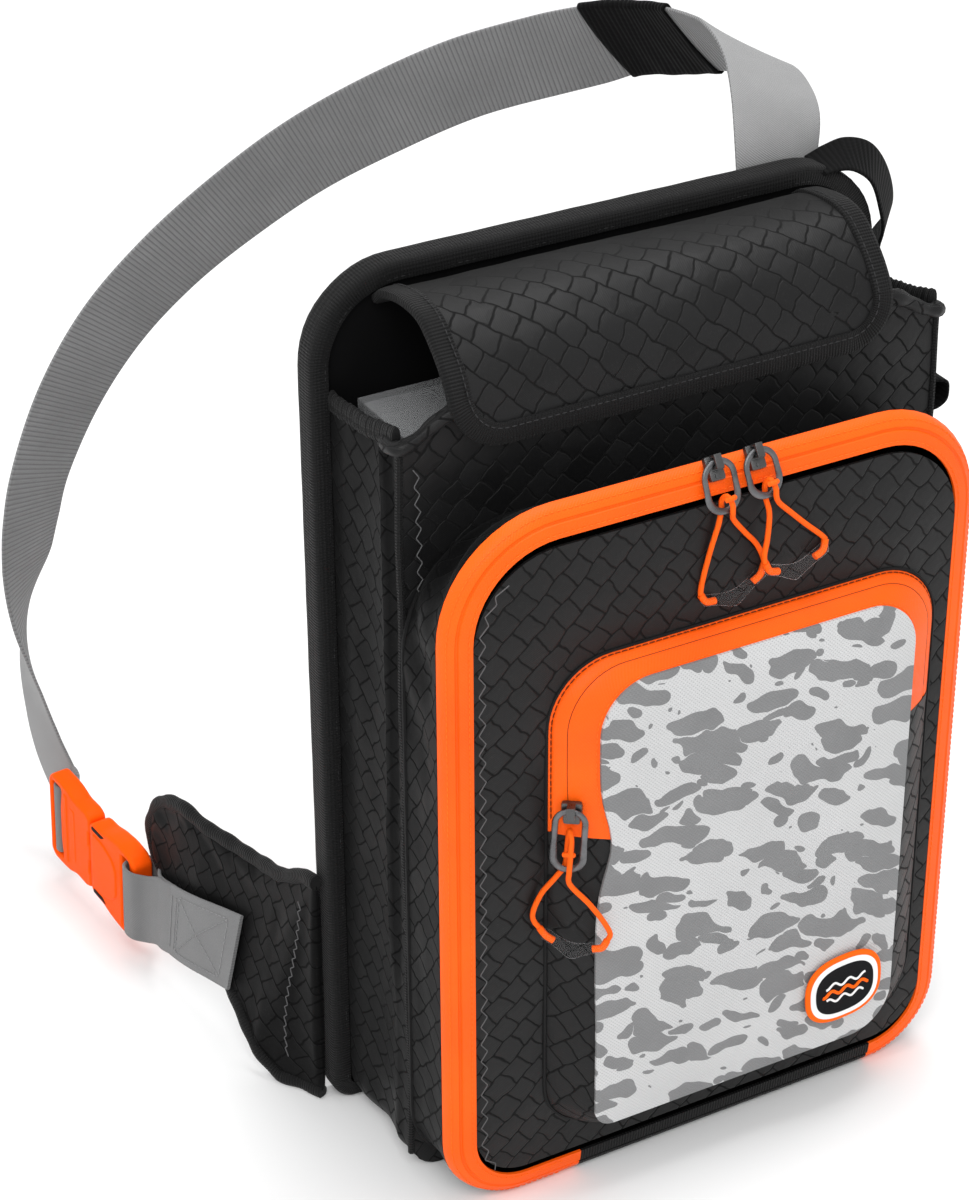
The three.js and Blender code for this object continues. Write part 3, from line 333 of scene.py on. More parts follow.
def coated_zip(name):
    """Smooth coated zip tape: satin, with a fine woven backing showing through."""
    m = Material(name, ORANGE, 0.45, Specular_IOR_Level=0.16)
    threads = m.effect(WEAVE, Across=0.0007, Along=0.0007)
    wear = m.effect(WEAR, Place=m.object_place, Size=0.05, Dust=0.15)
    m.base(m.mix(wear["Tone"], shade(ORANGE_DEEP, 0.97), shade(ORANGE, 1.0)))
    m.rough(m.ramp(wear["Tone"], 0, 1, 0.38, 0.5))
    m.bump([(threads["Height"], 0.6), (wear["Grain"], 0.3)], 0.00012)
    return m.made


def cord_sheath(name, colour):
    m = Material(name, colour, 0.6, False, Specular_IOR_Level=0.15)
    braid = m.effect(WEAVE, Across=0.0007, Along=0.0007)
    wear = m.effect(WEAR, Size=0.02, Dust=0.1)
    m.base(m.mix(wear["Tone"], shade(colour, 0.9), shade(colour, 1.0)))
    m.bump([(braid["Height"], 1.0)], 0.0002)
    return m.made


def moulded(name, colour, rough):
    m = Material(name, colour, rough, False, Specular_IOR_Level=0.03)
    wear = m.effect(WEAR, Size=0.015, Dust=0.3)
    edge = m.ramp(m.add("ShaderNodeNewGeometry").outputs["Pointiness"], 0.5, 0.56)
    tone = m.mix(wear["Tone"], shade(colour, 0.93), shade(colour, 1.0))
    m.base(m.mix(m.math("MULTIPLY", edge, 0.35), tone, shade(colour, 1.25)))
    m.rough(m.ramp(wear["Tone"], 0, 1, rough - 0.06, rough + 0.08))
    m.bump([(wear["Grain"], 1.0)], 0.00004)
    return m.made


def plated(name, deep=1.0):
    m = Material(name, (0.12, 0.122, 0.126), 0.32, False, metallic=0.9)
    wear = m.effect(WEAR, Size=0.006, Dust=0.3)
    edge = m.ramp(m.add("ShaderNodeNewGeometry").outputs["Pointiness"], 0.5, 0.58)
    tone = m.mix(wear["Tone"], shade((0.10, 0.101, 0.105), deep), shade((0.18, 0.182, 0.188), deep))
    m.base(m.mix(m.math("MULTIPLY", edge, 0.7), tone, shade((0.5, 0.5, 0.5), deep)))
    m.rough(m.ramp(wear["Tone"], 0, 1, 0.24, 0.42))
    m.bump([(wear["Grain"], 1.0)], 0.00003)
    return m.made


def clear(name, tint, rough, facing, grazing):
    """Clear moulded plastic: seen through where it faces, pale along its turned edges."""
    m = Material(name, tint, rough, False, Specular_IOR_Level=0.5, IOR=1.46)
    wear = m.effect(WEAR, Size=0.02, Dust=0.1)
    m.base(m.mix(wear["Tone"], shade(tint, 0.85), shade(tint, 1.0)))
    m.rough(m.ramp(wear["Tone"], 0, 1, rough * 0.7, rough * 1.5))
    turned = m.add("ShaderNodeLayerWeight", {"Blend": 0.5}).outputs["Facing"]
    m.put(m.shader.inputs["Alpha"], m.ramp(turned, 0.6, 0.95, facing, grazing))
    return m.made


def printed(name):
    light, grey = (0.55, 0.553, 0.557, 1), (0.19, 0.192, 0.195, 1)
    m = Material(name, light[:3], 0.62, Specular_IOR_Level=0.3, Sheen_Weight=0.1)
    blots = m.effect(BLOTCHES)
    threads = m.effect(WEAVE, Across=0.00085, Along=0.00085)
    wear = m.effect(WEAR, Place=m.object_place, Size=0.07, Dust=0.2)
    ground = m.mix(wear["Tone"], shade(light, 0.93), shade(light, 1.03))
    inked = m.mix(blots["Faint"], shade(grey, 0.85), shade(grey, 1.2))
    both = m.mix(blots["Mask"], ground, inked)
    # darker in the hollows between the threads: painted shade
    m.base(m.mix(m.math("MULTIPLY", m.ramp(threads["Height"], 0.3, 0.0), 0.5), both, shade(grey, 0.7)))
    m.bump([(threads["Height"], 1.0), (wear["Grain"], 0.1)], 0.00022)
    return m.made


def mesh_cloth(name):
    """Spacer mesh: rows of small open holes, on the padded back."""
    m = Material(name, (0.016, 0.016, 0.017), 0.8, False, Sheen_Weight=0.3)
    flat = m.vector("MULTIPLY", m.object_place, (1, 0, 1))
    parts = m.add("ShaderNodeSeparateXYZ", {0: flat.outputs[0]})
    spot = m.add("ShaderNodeCombineXYZ", {"X": parts.outputs["X"], "Y": parts.outputs["Z"]})
    holes = m.effect(CELLS, Place=spot.outputs[0], Cell=0.0032, Line=0.3, Waver=0.02)
    wear = m.effect(WEAR, Size=0.06, Dust=0.3)
    # darker inside the holes than on their rims: painted shade in the holes
    tone = m.mix(holes["Lines"], (0.004, 0.004, 0.004, 1), (0.022, 0.022, 0.023, 1))
    m.base(m.mix(wear["Dust"], tone, (0.08, 0.08, 0.08, 1)))
    m.bump([(m.math("SUBTRACT", 1.0, holes["Height"]), 1.0)], 0.0007)
    return m.made


FINISH = {
    "ripstop": ripstop("black_ripstop"),
    "ripstop_flap": ripstop("black_ripstop_flap", plain=(0.018, 0.036)),
    # a darker copy of the ripstop, with less gloss and fainter lines, for the gusset, the sleeve's sides and
    # the wing: painted shade on the faces turned from the light
    "ripstop_shaded": ripstop("black_ripstop_shaded", (0.0027, 0.0027, 0.0028), 0.05, mark=0.45,
                              depth=0.00022),
    "binding": tape("black_binding_tape", (0.0055, 0.0055, 0.0057), 0.0013, 0.62, depth=0.0004, sheen=0.03,
                    gloss=0.16),
    "elastic": tape("black_elastic", (0.0035, 0.0035, 0.0037), 0.0024, 0.8, depth=0.0003, sheen=0.02,
                    gloss=0.08),
    "webbing_outer": tape("grey_webbing_outer", (0.26, 0.261, 0.263), 0.00085, 0.7, slant=0.6,
                          depth=0.0002, groove=0.72),
    # ribbed inner face of the strap, a darker grey than the outer face: painted shade on the inside of the
    # loop
    "webbing_inner": tape("grey_webbing_inner", (0.195, 0.196, 0.198), 0.0021, 0.78, slant=0.0,
                          depth=0.0004, groove=0.62),
    "webbing_tab": tape("grey_webbing_tab", (0.165, 0.166, 0.168), 0.00085, 0.75, slant=0.6, depth=0.0002,
                        groove=0.72),
    "lining": tape("black_lining", (0.0035, 0.0035, 0.0037), 0.0006, 0.85, depth=0.0001, sheen=0.0,
                   gloss=0.06),
    "zip": coated_zip("orange_coated_zip"),
    "cord": cord_sheath("orange_cord_sheath", ORANGE),
    "orange_plastic": moulded("orange_moulded", (0.96, 0.088, 0.003), 0.34),
    "metal": plated("gunmetal_plated"),
    "metal_dark": plated("gunmetal_dark", 0.28),
    "grip": clear("clear_grip_moulded", (0.6, 0.6, 0.61), 0.12, 0.014, 0.75),
    "case": clear("clear_case_moulded", (0.55, 0.56, 0.57), 0.1, 0.22, 0.85),
    "print": printed("grey_camouflage_print"),
    "mesh": mesh_cloth("black_spacer_mesh"),
    "thread_black": cord_sheath("black_thread", (0.03, 0.03, 0.031)),
    "thread_grey": cord_sheath("grey_thread", (0.10, 0.10, 0.102)),
    "thread_pale": cord_sheath("pale_thread", (0.26, 0.26, 0.262)),
    "thread_brown": cord_sheath("seam_thread", (0.16, 0.022, 0.004)),
    "thread_orange": cord_sheath("orange_thread", (1.0, 0.16, 0.012)),
    "badge_black": moulded("badge_black", (0.010, 0.010, 0.011), 0.5),
    "badge_white": moulded("badge_white", (0.80, 0.80, 0.80), 0.5),
    "badge_orange": moulded("badge_orange", (1.0, 0.125, 0.008), 0.45),
}


# mesh helpers

def lay_uv(data, uv):
    """Writes one place on the cloth for each point, given in millimetres."""
    layer = data.uv_layers.new(name="cloth")
    index = np.empty(len(data.loops), np.int32)
    data.loops.foreach_get("vertex_index", index)
    layer.data.foreach_set("uv", (grid(uv)[index] * MM).ravel())


def piece(name, points, faces, finish, slot, uv=None, replaces=(), smooth=40.0, extra=()):
    """A mesh object on the root body. points in millimetres, uv in millimetres along the cloth."""
    data = bpy.data.meshes.new(name)
    data.from_pydata((grid(points) * MM).tolist(), [], [list(map(int, f)) for f in faces])
    if uv is not None:
        lay_uv(data, uv)
    data.validate()
    data.shade_smooth()
    data.set_sharp_from_angle(angle=math.radians(smooth))
    for f in (finish, *extra):
        data.materials.append(FINISH[f])
    obj = bpy.data.objects.new(name, data)
    scene.collection.objects.link(obj)
    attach(obj, "root")
    if replaces:
        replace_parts(obj, *replaces)
    return obj


def unit(v):
    """Rows of vectors, each scaled to length one."""
    return v / np.linalg.norm(v, axis=1, keepdims=True)


def run_of(path):
    """The length run along a path at each of its points."""
    return np.concatenate([[0], np.cumsum(np.linalg.norm(np.diff(path, axis=0), axis=1))])


def band_faces(rows, sides, closed=False):
    """Four-sided faces between rows of points, where each row is a ring."""
    faces = []
    for k in range(rows if closed else rows - 1):
        here, after = k * sides, (k + 1) % rows * sides
        for i in range(sides):
            beside = (i + 1) % sides
            faces.append((here + i, here + beside, after + beside, after + i))
    return faces


def end_faces(rows, sides):
    """The first row and the last one, as one face each."""
    return tuple(range(sides)), tuple(range((rows - 1) * sides, rows * sides))


def normals_of(p):
    du = np.gradient(p, axis=0)
    dv = np.gradient(p, axis=1)
    n = np.cross(du, dv)
    return n / np.maximum(np.linalg.norm(n, axis=2, keepdims=True), 1e-9)


def facing(p, towards):
    """1 where the grid's own normals look towards a direction, else -1."""
    return 1.0 if (normals_of(p) * towards).sum() > 0 else -1.0


def wall_faces(n, m):
    """The faces of a sheet with two sides of n by m points, and of its four edges."""
    faces = []
    at = lambda s, i, j: s * n * m + i * m + j
    for i in range(n - 1):
        for j in range(m - 1):
            faces.append((at(0, i, j), at(0, i + 1, j), at(0, i + 1, j + 1), at(0, i, j + 1)))
            faces.append((at(1, i, j), at(1, i, j + 1), at(1, i + 1, j + 1), at(1, i + 1, j)))
    for i in range(n - 1):
        faces.append((at(0, i, 0), at(1, i, 0), at(1, i + 1, 0), at(0, i + 1, 0)))
        faces.append((at(0, i, m - 1), at(0, i + 1, m - 1), at(1, i + 1, m - 1), at(1, i, m - 1)))
    for j in range(m - 1):
        faces.append((at(0, 0, j), at(0, 0, j + 1), at(1, 0, j + 1), at(1, 0, j)))
        faces.append((at(0, n - 1, j), at(1, n - 1, j), at(1, n - 1, j + 1), at(0, n - 1, j + 1)))
    return faces


def lengths(p, axis):
    step = np.linalg.norm(np.diff(p, axis=axis), axis=2)
    shape = list(step.shape)
    shape[axis] = 1
    return np.concatenate([np.zeros(shape), np.cumsum(step, axis=axis)], axis=axis)


def cloth_wall(name, p, thick, finish, slot, uv=None, outward=1.0, **options):
    """A sheet drawn through a grid of points, given its thickness to the inside of the grid's normal."""
    p = grid(p)
    n, m = p.shape[:2]
    normal = normals_of(p) * outward
    inner = p - normal * thick
    if uv is None:
        uv = np.stack([lengths(p, 0).mean(axis=1, keepdims=True).repeat(m, 1), lengths(p, 1)], axis=2)
    points = np.concatenate([p.reshape(-1, 3), inner.reshape(-1, 3)])
    faces = wall_faces(n, m)
    if outward < 0:
        faces = [f[::-1] for f in faces]
    return piece(name, points, faces, finish, slot, np.concatenate([grid(uv).reshape(-1, 2)] * 2), **options)


def wobble(p, size, seed=0.0):
    """Smooth noise at points in millimetres, about -1 to 1."""
    flat = grid(p).reshape(-1, 3) / size + seed
    out = [noise.noise(Vector(q)) for q in flat]
    return grid(out).reshape(grid(p).shape[:-1])


def outline(left, right, bottom, top, radii, half=10, corner=12, side=30):
    low_left, high_left, high_right, low_right = radii
    points = []

    def line(x0, z0, x1, z1, n):
        for k in range(n):
            points.append((x0 + (x1 - x0) * k / n, z0 + (z1 - z0) * k / n))

    def arc(cx, cz, r, start):
        for k in range(corner):
            a = start - math.pi / 2 * k / corner
            points.append((cx + r * math.cos(a), cz + r * math.sin(a)))

    middle = (left + right) / 2
    line(middle, bottom, left + low_left, bottom, half)
    arc(left + low_left, bottom + low_left, low_left, -math.pi / 2)
    line(left, bottom + low_left, left, top - high_left, side)
    arc(left + high_left, top - high_left, high_left, -math.pi)
    line(left + high_left, top, right - high_right, top, 2 * half)
    arc(right - high_right, top - high_right, high_right, math.pi / 2)
    line(right, top - high_right, right, bottom + low_right, side)
    arc(right - low_right, bottom + low_right, low_right, 0)
    line(right - low_right, bottom, middle, bottom, half)
    points.append(points[0])
    return grid(points)


MAIN_RADII = (35.0, 47.6, 47.6, 35.0)
POCKET = dict(left=-77.1, right=99.0, bottom=29.83, top=249.0, radii=(24, 27, 28, 27))
FACE = dict(left=-60.93, right=82.1, bottom=33.9, top=242.0, radii=(9, 22, 22, 20))
MAIN = dict(left=-HALF_BAG, right=HALF_BAG, bottom=0.0, top=MAIN_TOP, radii=MAIN_RADII)
PANEL = dict(left=-HALF_PANEL, right=HALF_PANEL, bottom=0.0, top=PANEL_TOP,
             radii=(10, PANEL_CORNER, PANEL_CORNER, 10))


def ring_of(box, d=0.0, top_less=0.0, **steps):
    radii = [max(r - d, 2.5) for r in box["radii"]]
    return outline(box["left"] + d, box["right"] - d, box["bottom"] + d, box["top"] - top_less - d, radii,
                   **steps)


def at_y(ring, y):
    ys = np.full(len(ring), y) if np.isscalar(y) else y
    return np.stack([ring[:, 0], ys, ring[:, 1]], axis=1)


def tube(path, radius, sides=8, closed=False):
    """Points and faces of a round tube along a path."""
    path = grid(path)
    count = len(path)
    tangent = np.roll(path, -1, 0) - np.roll(path, 1, 0) if closed else np.gradient(path, axis=0)
    tangent /= np.linalg.norm(tangent, axis=1, keepdims=True)
    side = np.cross(tangent[0], (0.3, 0.2, 0.9))
    side /= np.linalg.norm(side)
    points = []
    for k in range(count):
        side = side - tangent[k] * side.dot(tangent[k])
        side /= np.linalg.norm(side)
        other = np.cross(tangent[k], side)
        r = radius if np.isscalar(radius) else radius[k]
        for i in range(sides):
            a = 2 * math.pi * i / sides
            points.append(path[k] + r * (math.cos(a) * side + math.sin(a) * other))
    faces = band_faces(count, sides, closed)
    if not closed:
        first, last = end_faces(count, sides)
        faces += [first[::-1], last]
    return grid(points), faces


def rod(name, path, radius, sides, finish, slot, closed=False, **options):
    """A round piece along a path."""
    return piece(name, *tube(path, radius, sides, closed), finish, slot, **options)


def curve_through(points, per_span):
    """Centripetal curve through points, as the solids use."""
    p = grid(points)
    n = len(p)
    out = []
    for i in range(n - 1):
        p1, p2 = p[i], p[i + 1]
        p0 = p[i - 1] if i else 2 * p1 - p2
        p3 = p[i + 2] if i + 2 < n else 2 * p2 - p1
        d0, d1, d2 = (max(np.linalg.norm(b - a), 1e-6) ** 0.5 for a, b in ((p0, p1), (p1, p2), (p2, p3)))
        m1 = ((p1 - p0) / d0 - (p2 - p0) / (d0 + d1) + (p2 - p1) / d1) * d1
        m2 = ((p2 - p1) / d1 - (p3 - p1) / (d1 + d2) + (p3 - p2) / d2) * d1
        for k in range(per_span):
            t = k / per_span
            out.append(p1 + m1 * t + (3 * (p2 - p1) - 2 * m1 - m2) * t * t + (m1 + m2 - 2 * (p2 - p1))
                       * t ** 3)
    out.append(p[-1])
    return grid(out)


def even(path, step):
    """The same path with its points about one step apart."""
    path = grid(path)
    run = run_of(path)
    count = max(int(round(run[-1] / step)), 2)
    want = np.linspace(0, run[-1], count + 1)
    return np.stack([np.interp(want, run, path[:, k]) for k in range(path.shape[1])], axis=1)


def stitches(name, path, finish, slot, pitch, length, radius):
    """Thread stitches along a path, as one mesh."""
    path = even(path, pitch)
    points, faces = [], []
    for k in range(len(path) - 1):
        a, b = path[k], path[k + 1]
        mid = (a + b) / 2
        span = (b - a) / 2 * (length / pitch)
        line = [mid - span, mid - span * 0.5, mid + span * 0.5, mid + span]
        p, f = tube(line, [radius * 0.45, radius, radius, radius * 0.45], 5)
        faces += [tuple(i + len(points) for i in q) for q in f]
        points += list(p)
    piece(name, points, faces, finish, slot)


def zigzag(name, path, sideways, pitch, swing, finish, slot):
    """One thread that runs from side to side along a path."""
    path = even(path, pitch / 2)
    side = grid(sideways)
    line = [q + side * swing * (1 if k % 2 else -1) for k, q in enumerate(path)]
    rod(name, even(line, 0.9), 0.24, 5, finish, slot)


# floor and light

def make_stage():
    data = bpy.data.meshes.new("floor")
    depth, rise, bend = 3.0, 3.0, 0.8
    profile = [(-3.0, 0.0), (depth - bend, 0.0)]
    profile += [(depth - bend + bend * math.sin(a), bend - bend * math.cos(a))
                for a in np.linspace(0, math.pi / 2, 12)[1:]]
    profile += [(depth, rise)]
    points = [(x, y, z - 0.0004) for y, z in profile for x in (-4.0, 4.0)]
    faces = [(2 * k, 2 * k + 1, 2 * k + 3, 2 * k + 2) for k in range(len(profile) - 1)]
    data.from_pydata(points, [], faces)
    data.shade_smooth()
    m = Material("pale_floor", (0.86, 0.86, 0.86), 0.7, False, Specular_IOR_Level=0.2)
    wear = m.effect(WEAR, Size=0.5, Dust=0.0)
    m.base(m.mix(wear["Tone"], (0.85, 0.85, 0.85, 1), (0.87, 0.87, 0.87, 1)))
    data.materials.append(m.made)
    floor = bpy.data.objects.new("floor", data)
    scene.collection.objects.link(floor)


def area_light(name, place, target, size, power):
    data = bpy.data.lights.new(name, "AREA")
    data.shape = "DISK"
    data.size = size
    data.energy = power
    lamp = bpy.data.objects.new(name, data)
    lamp.location = place
    lamp.rotation_euler = (Vector(target) - Vector(place)).to_track_quat("-Z", "Y").to_euler()
    scene.collection.objects.link(lamp)


make_stage()
scene.view_settings.view_transform = "Standard"
world = bpy.data.worlds.new("studio")
world.use_nodes = True
world.node_tree.nodes["Background"].inputs["Color"].default_value = (1, 1, 1, 1)
world.node_tree.nodes["Background"].inputs["Strength"].default_value = 0.85
scene.world = world
area_light("key", (-1.0, -1.5, 1.9), (0, 0, 0.2), 1.4, 26)
area_light("side", (-2.0, 0.1, 1.3), (0, 0, 0.3), 0.8, 5)
area_light("top", (0.3, 0.2, 2.2), (0, 0, 0.25), 1.2, 24)


# main compartment

def main_cloth():
    # gusset: from the sleeve's front wall to the zip band, its top edge lower at the back
    rows = 12
    front, back = ring_of(MAIN), ring_of(MAIN, top_less=17.0)
    p = np.zeros((len(front), rows + 1, 3))
    for j in range(rows + 1):
        t = j / rows
        ring = back * (1 - t) + front * t
        p[:, j] = at_y(ring, MAIN_BACK + (MAIN_EDGE - MAIN_BACK) * t)
    n = normals_of(p)
    if (n[:, 6] * (p[:, 6] - p[:, 6].mean(0))).sum() < 0:
        n = -n
    t = np.linspace(0, 1, rows + 1)[None, :]
    x, z = p[..., 0], p[..., 2]
    sag = -1.5 * np.sin(math.pi * t) * (0.7 + 0.5 * wobble(p, 60, 3))
    near = np.exp(-((x + 95) / 38) ** 2 - ((z - 268) / 55) ** 2)
    folds = near * (2.4 * np.sin((z * 0.16 + t * 4.2)) * np.sin(math.pi * t) ** 0.7)
    creases = 0.55 * wobble(p * grid((1, 2.2, 1)), 16, 9) * np.sin(math.pi * t)
    amount = sag + folds + creases
    amount[z < 8] *= 0.2
    p = p + n * np.minimum(amount, 2.4)[..., None]
    p[..., 2] = np.maximum(p[..., 2], 0.02)
    cloth_wall("main_gusset_cloth", p, 1.6, "ripstop_shaded", "black_cloth", outward=facing(p, n),
               replaces=["main_gusset"])
    # seam tape where the gusset meets the sleeve
    ring = ring_of(MAIN, 0.2, top_less=17.0)
    points, faces = tube(at_y(ring, MAIN_BACK - 1.0)[:-1], 0.9, 6, True)
    points[:, 2] = np.maximum(points[:, 2], 0.05)
    piece("main_back_seam", points, faces, "binding", "black_binding")


# section of the zip's band: how far in from its outline, how far forward of its rear edge
BAND = [
    (0.0, 0.35), (0.5, 2.2), (1.6, 4.1), (3.2, 5.4), (4.6, 6.05), (5.0, 5.75), (5.4, 5.7), (5.8, 5.8),
    (6.2, 6.75), (8.5, 7.2), (11.6, 7.6),
]


def main_zip():
    rings = [ring_of(MAIN, d) for d, _ in BAND]
    outer = np.stack([at_y(r, MAIN_EDGE - y) for r, (_, y) in zip(rings, BAND)], axis=1)
    base = rings[0]
    # the zip runs from its left stop on the bottom, up and over, to the right stop
    start = next(k for k in range(len(base)) if base[k][0] < -55.7)
    end = next(k for k in range(len(base) // 2, len(base)) if base[k][1] < 0.01 and base[k][0] < 92.7)
    for name, part, finish, slot, node in (
        ("main_zip_band", outer[start:end + 1], "zip", "orange_zip", "main_zip_tape"),
        ("bottom_band_cloth", np.concatenate([outer[end:-1], outer[:start + 1]]), "binding",
         "black_binding", "bottom_band"),
    ):
        centre = grid((0, MAIN_EDGE - 4, MAIN_TOP / 2))
        n = normals_of(part)
        outward = 1.0 if (n[:, 0] * (part[:, 0] - centre)).sum() > 0 else -1.0
        cloth_wall(name, part, 1.2, finish, slot, outward=outward, replaces=[node], smooth=50)
    for d, y in ((9.9, 7.52), (1.9, 4.5)):
        line = at_y(ring_of(MAIN, d), MAIN_EDGE - y)[start + 1:end]
        stitches(f"main_zip_stitch_{round(d)}", line, "thread_orange", "orange_zip", 2.6, 1.9, 0.2)


def front_cloth():
    rings, rows = [], 16
    depth = np.linspace(0, 1, rows + 1) ** 0.85
    for t in depth:
        d = 11.7 + t * 100.0
        radii = [max(r - d, 3.0) for r in MAIN_RADII]
        rings.append(outline(MAIN["left"] + d, MAIN["right"] - d, d * 1.28, MAIN_TOP - d * 1.28, radii))
    p = np.stack([at_y(r, PANEL_FACE) for r in rings], axis=1)
    x, z = p[..., 0], p[..., 2]
    edge = np.minimum(np.linspace(0, 1, rows + 1)[None, :] * 5, 1)
    rise = 0.9 + 1.3 * np.sin(math.pi * np.clip((z - 12) / 290, 0, 1))
    broad = 0.8 * wobble(p, 70, 2)
    drag = 0.7 * np.sin((z + 0.45 * x) * 0.11 + 1.5 * wobble(p, 90, 5)) * np.exp(-((x + 88) / 26) ** 2)
    left_folds = 0.9 * np.sin(z * 0.2 + 2 * wobble(p, 60, 7)) * np.exp(-((x + 100) / 12) ** 2)
    under = np.exp(-((x - 11) / 95) ** 4 - ((z - 140) / 116) ** 4)
    amount = edge * (rise + broad + drag + left_folds) * (1 - 0.9 * under)
    p[..., 1] = PANEL_FACE + 0.9 * (1 - edge) - np.clip(amount, 0, 2.6) * (1 - under)
    cloth_wall("front_panel_cloth", p, 1.4, "ripstop", "black_cloth", p[..., [0, 2]], facing(p, (0, -1, 0)),
               replaces=["front_panel"], smooth=60)
    # light zigzag thread along the inner edge of the zip on the left
    ring = ring_of(MAIN, 14.2)
    keep = ring[[k for k in range(len(ring) // 2) if 20 < ring[k][1] < 292 and ring[k][0] < -60]]
    zigzag("front_edge_thread", at_y(keep, PANEL_FACE - 1.1), (1, 0, 0), 8.4, 1.5, "thread_grey",
           "grey_webbing")


def side_push(ring):
    """The face's left edge is pushed in beside the zip's end."""
    x, z = ring[..., 0], ring[..., -1]
    middle = (FACE["left"] + FACE["right"]) / 2
    near = np.clip((middle - x) / (middle - FACE["left"]), 0, 1) ** 3
    return near * (5.5 * np.exp(-((z - 171) / 17) ** 2) - 1.0 * np.exp(-((z - 120) / 30) ** 2))


def pocket():
    face_ring, base_ring = ring_of(FACE, 0.2), ring_of(POCKET)
    face_ring = face_ring + np.stack([side_push(face_ring), 0 * face_ring[:, 0]], 1)
    rows = 24
    p = np.zeros((len(base_ring), rows + 1, 3))
    for j in range(rows + 1):
        t = j / rows
        bulge = 0.64 * t * (1 - t)
        ring = base_ring * (1 - t + bulge) + face_ring * (t - bulge)
        p[:, j] = at_y(ring, POCKET_BASE + (POCKET_RIM - POCKET_BASE) * t)
    n_out = normals_of(p)
    if (n_out[:, 12] * (p[:, 12] - grid((10, 0, 140)))).sum() < 0:
        n_out = -n_out
    left = next(k for k in range(len(base_ring)) if base_ring[k][0] < -77.0 and base_ring[k][1] > 172)
    right = next(k for k in range(len(base_ring) // 2, len(base_ring)) if base_ring[k][1] < 193)
    t = np.linspace(0, 1, rows + 1)[None, :]
    crumple = 0.5 * wobble(p, 14, 4) * np.sin(math.pi * t)
    groove = np.exp(-((t - 0.5) / 0.03) ** 2) * 0.35 + np.exp(-((t - 0.125) / 0.04) ** 2) * 0.6
    zip_p = p[left:right + 1] - n_out[left:right + 1] * groove[..., None]
    low_p = np.concatenate([p[right:-1], p[:left + 1]])
    low_n = np.concatenate([n_out[right:-1], n_out[:left + 1]])
    low_p = low_p + low_n * np.concatenate([crumple[right:-1], crumple[:left + 1]])[..., None]
    for name, part, towards, finish, slot, node in (
        ("pocket_zip_band", zip_p, n_out[left:right + 1], "zip", "orange_zip", "pocket_zip_tape"),
        ("pocket_gusset_cloth", low_p, low_n, "ripstop", "black_cloth", "pocket_gusset"),
    ):
        cloth_wall(name, part, 1.5, finish, slot, outward=facing(part, towards), replaces=[node], smooth=60)
    line = p[left + 1:right, 3] - n_out[left + 1:right, 3] * 0.32
    stitches("pocket_zip_stitch", line, "thread_brown", "orange_zip", 3.0, 2.5, 0.3)
    line = p[left + 1:right, 12] - n_out[left + 1:right, 12] * 0.42
    rod("pocket_zip_line", line, 0.22, 5, "thread_brown", "orange_zip")
    line = p[left + 1:right, 23] + n_out[left + 1:right, 23] * 0.1
    stitches("pocket_zip_rim_stitch", line, "thread_orange", "orange_zip", 2.6, 1.9, 0.2)
    # piping where the pocket is sewn to the front panel
    line = at_y(ring_of(POCKET, -0.3), POCKET_BASE - 0.3)[:-1]
    rod("pocket_base_seam", line, 0.8, 6, "binding", "black_binding", True)
    # printed face
    steps = 20
    ring = ring_of(FACE, 0.1)
    half_x, half_z = (FACE["right"] - FACE["left"]) / 2, (FACE["top"] - FACE["bottom"]) / 2
    cx, cz = (FACE["right"] + FACE["left"]) / 2, (FACE["top"] + FACE["bottom"]) / 2
    spine = np.stack([np.full(len(ring), cx),
                      cz + np.clip(ring[:, 1] - cz, half_x - half_z, half_z - half_x)], 1)
    q = np.stack([at_y(ring * (1 - k) + spine * k, FACE_Y) for k in (np.arange(steps + 1) / steps) ** 0.9],
                 axis=1)
    q[..., 0] += side_push(q)
    s = np.linspace(0, 1, steps + 1)[None, :]
    edge = np.clip(s * 7, 0, 1)
    rise = 1.0 * edge ** 0.5 + 1.1 * np.sin(math.pi * np.clip(s, 0, 1) / 2)
    soft = 0.5 * wobble(q, 55, 8) * edge
    side_folds = 0.45 * np.sin(q[..., 2] * 0.17
                               + wobble(q, 40, 6)) * np.exp(-((q[..., 0] + 58) / 9) ** 2) * edge
    q[..., 1] = FACE_Y + 2.1 - rise - soft - side_folds
    cloth_wall("pocket_face_cloth", q, 1.5, "print", "printed_cloth", q[..., [0, 2]], facing(q, (0, -1, 0)),
               replaces=["pocket_face"], smooth=60)


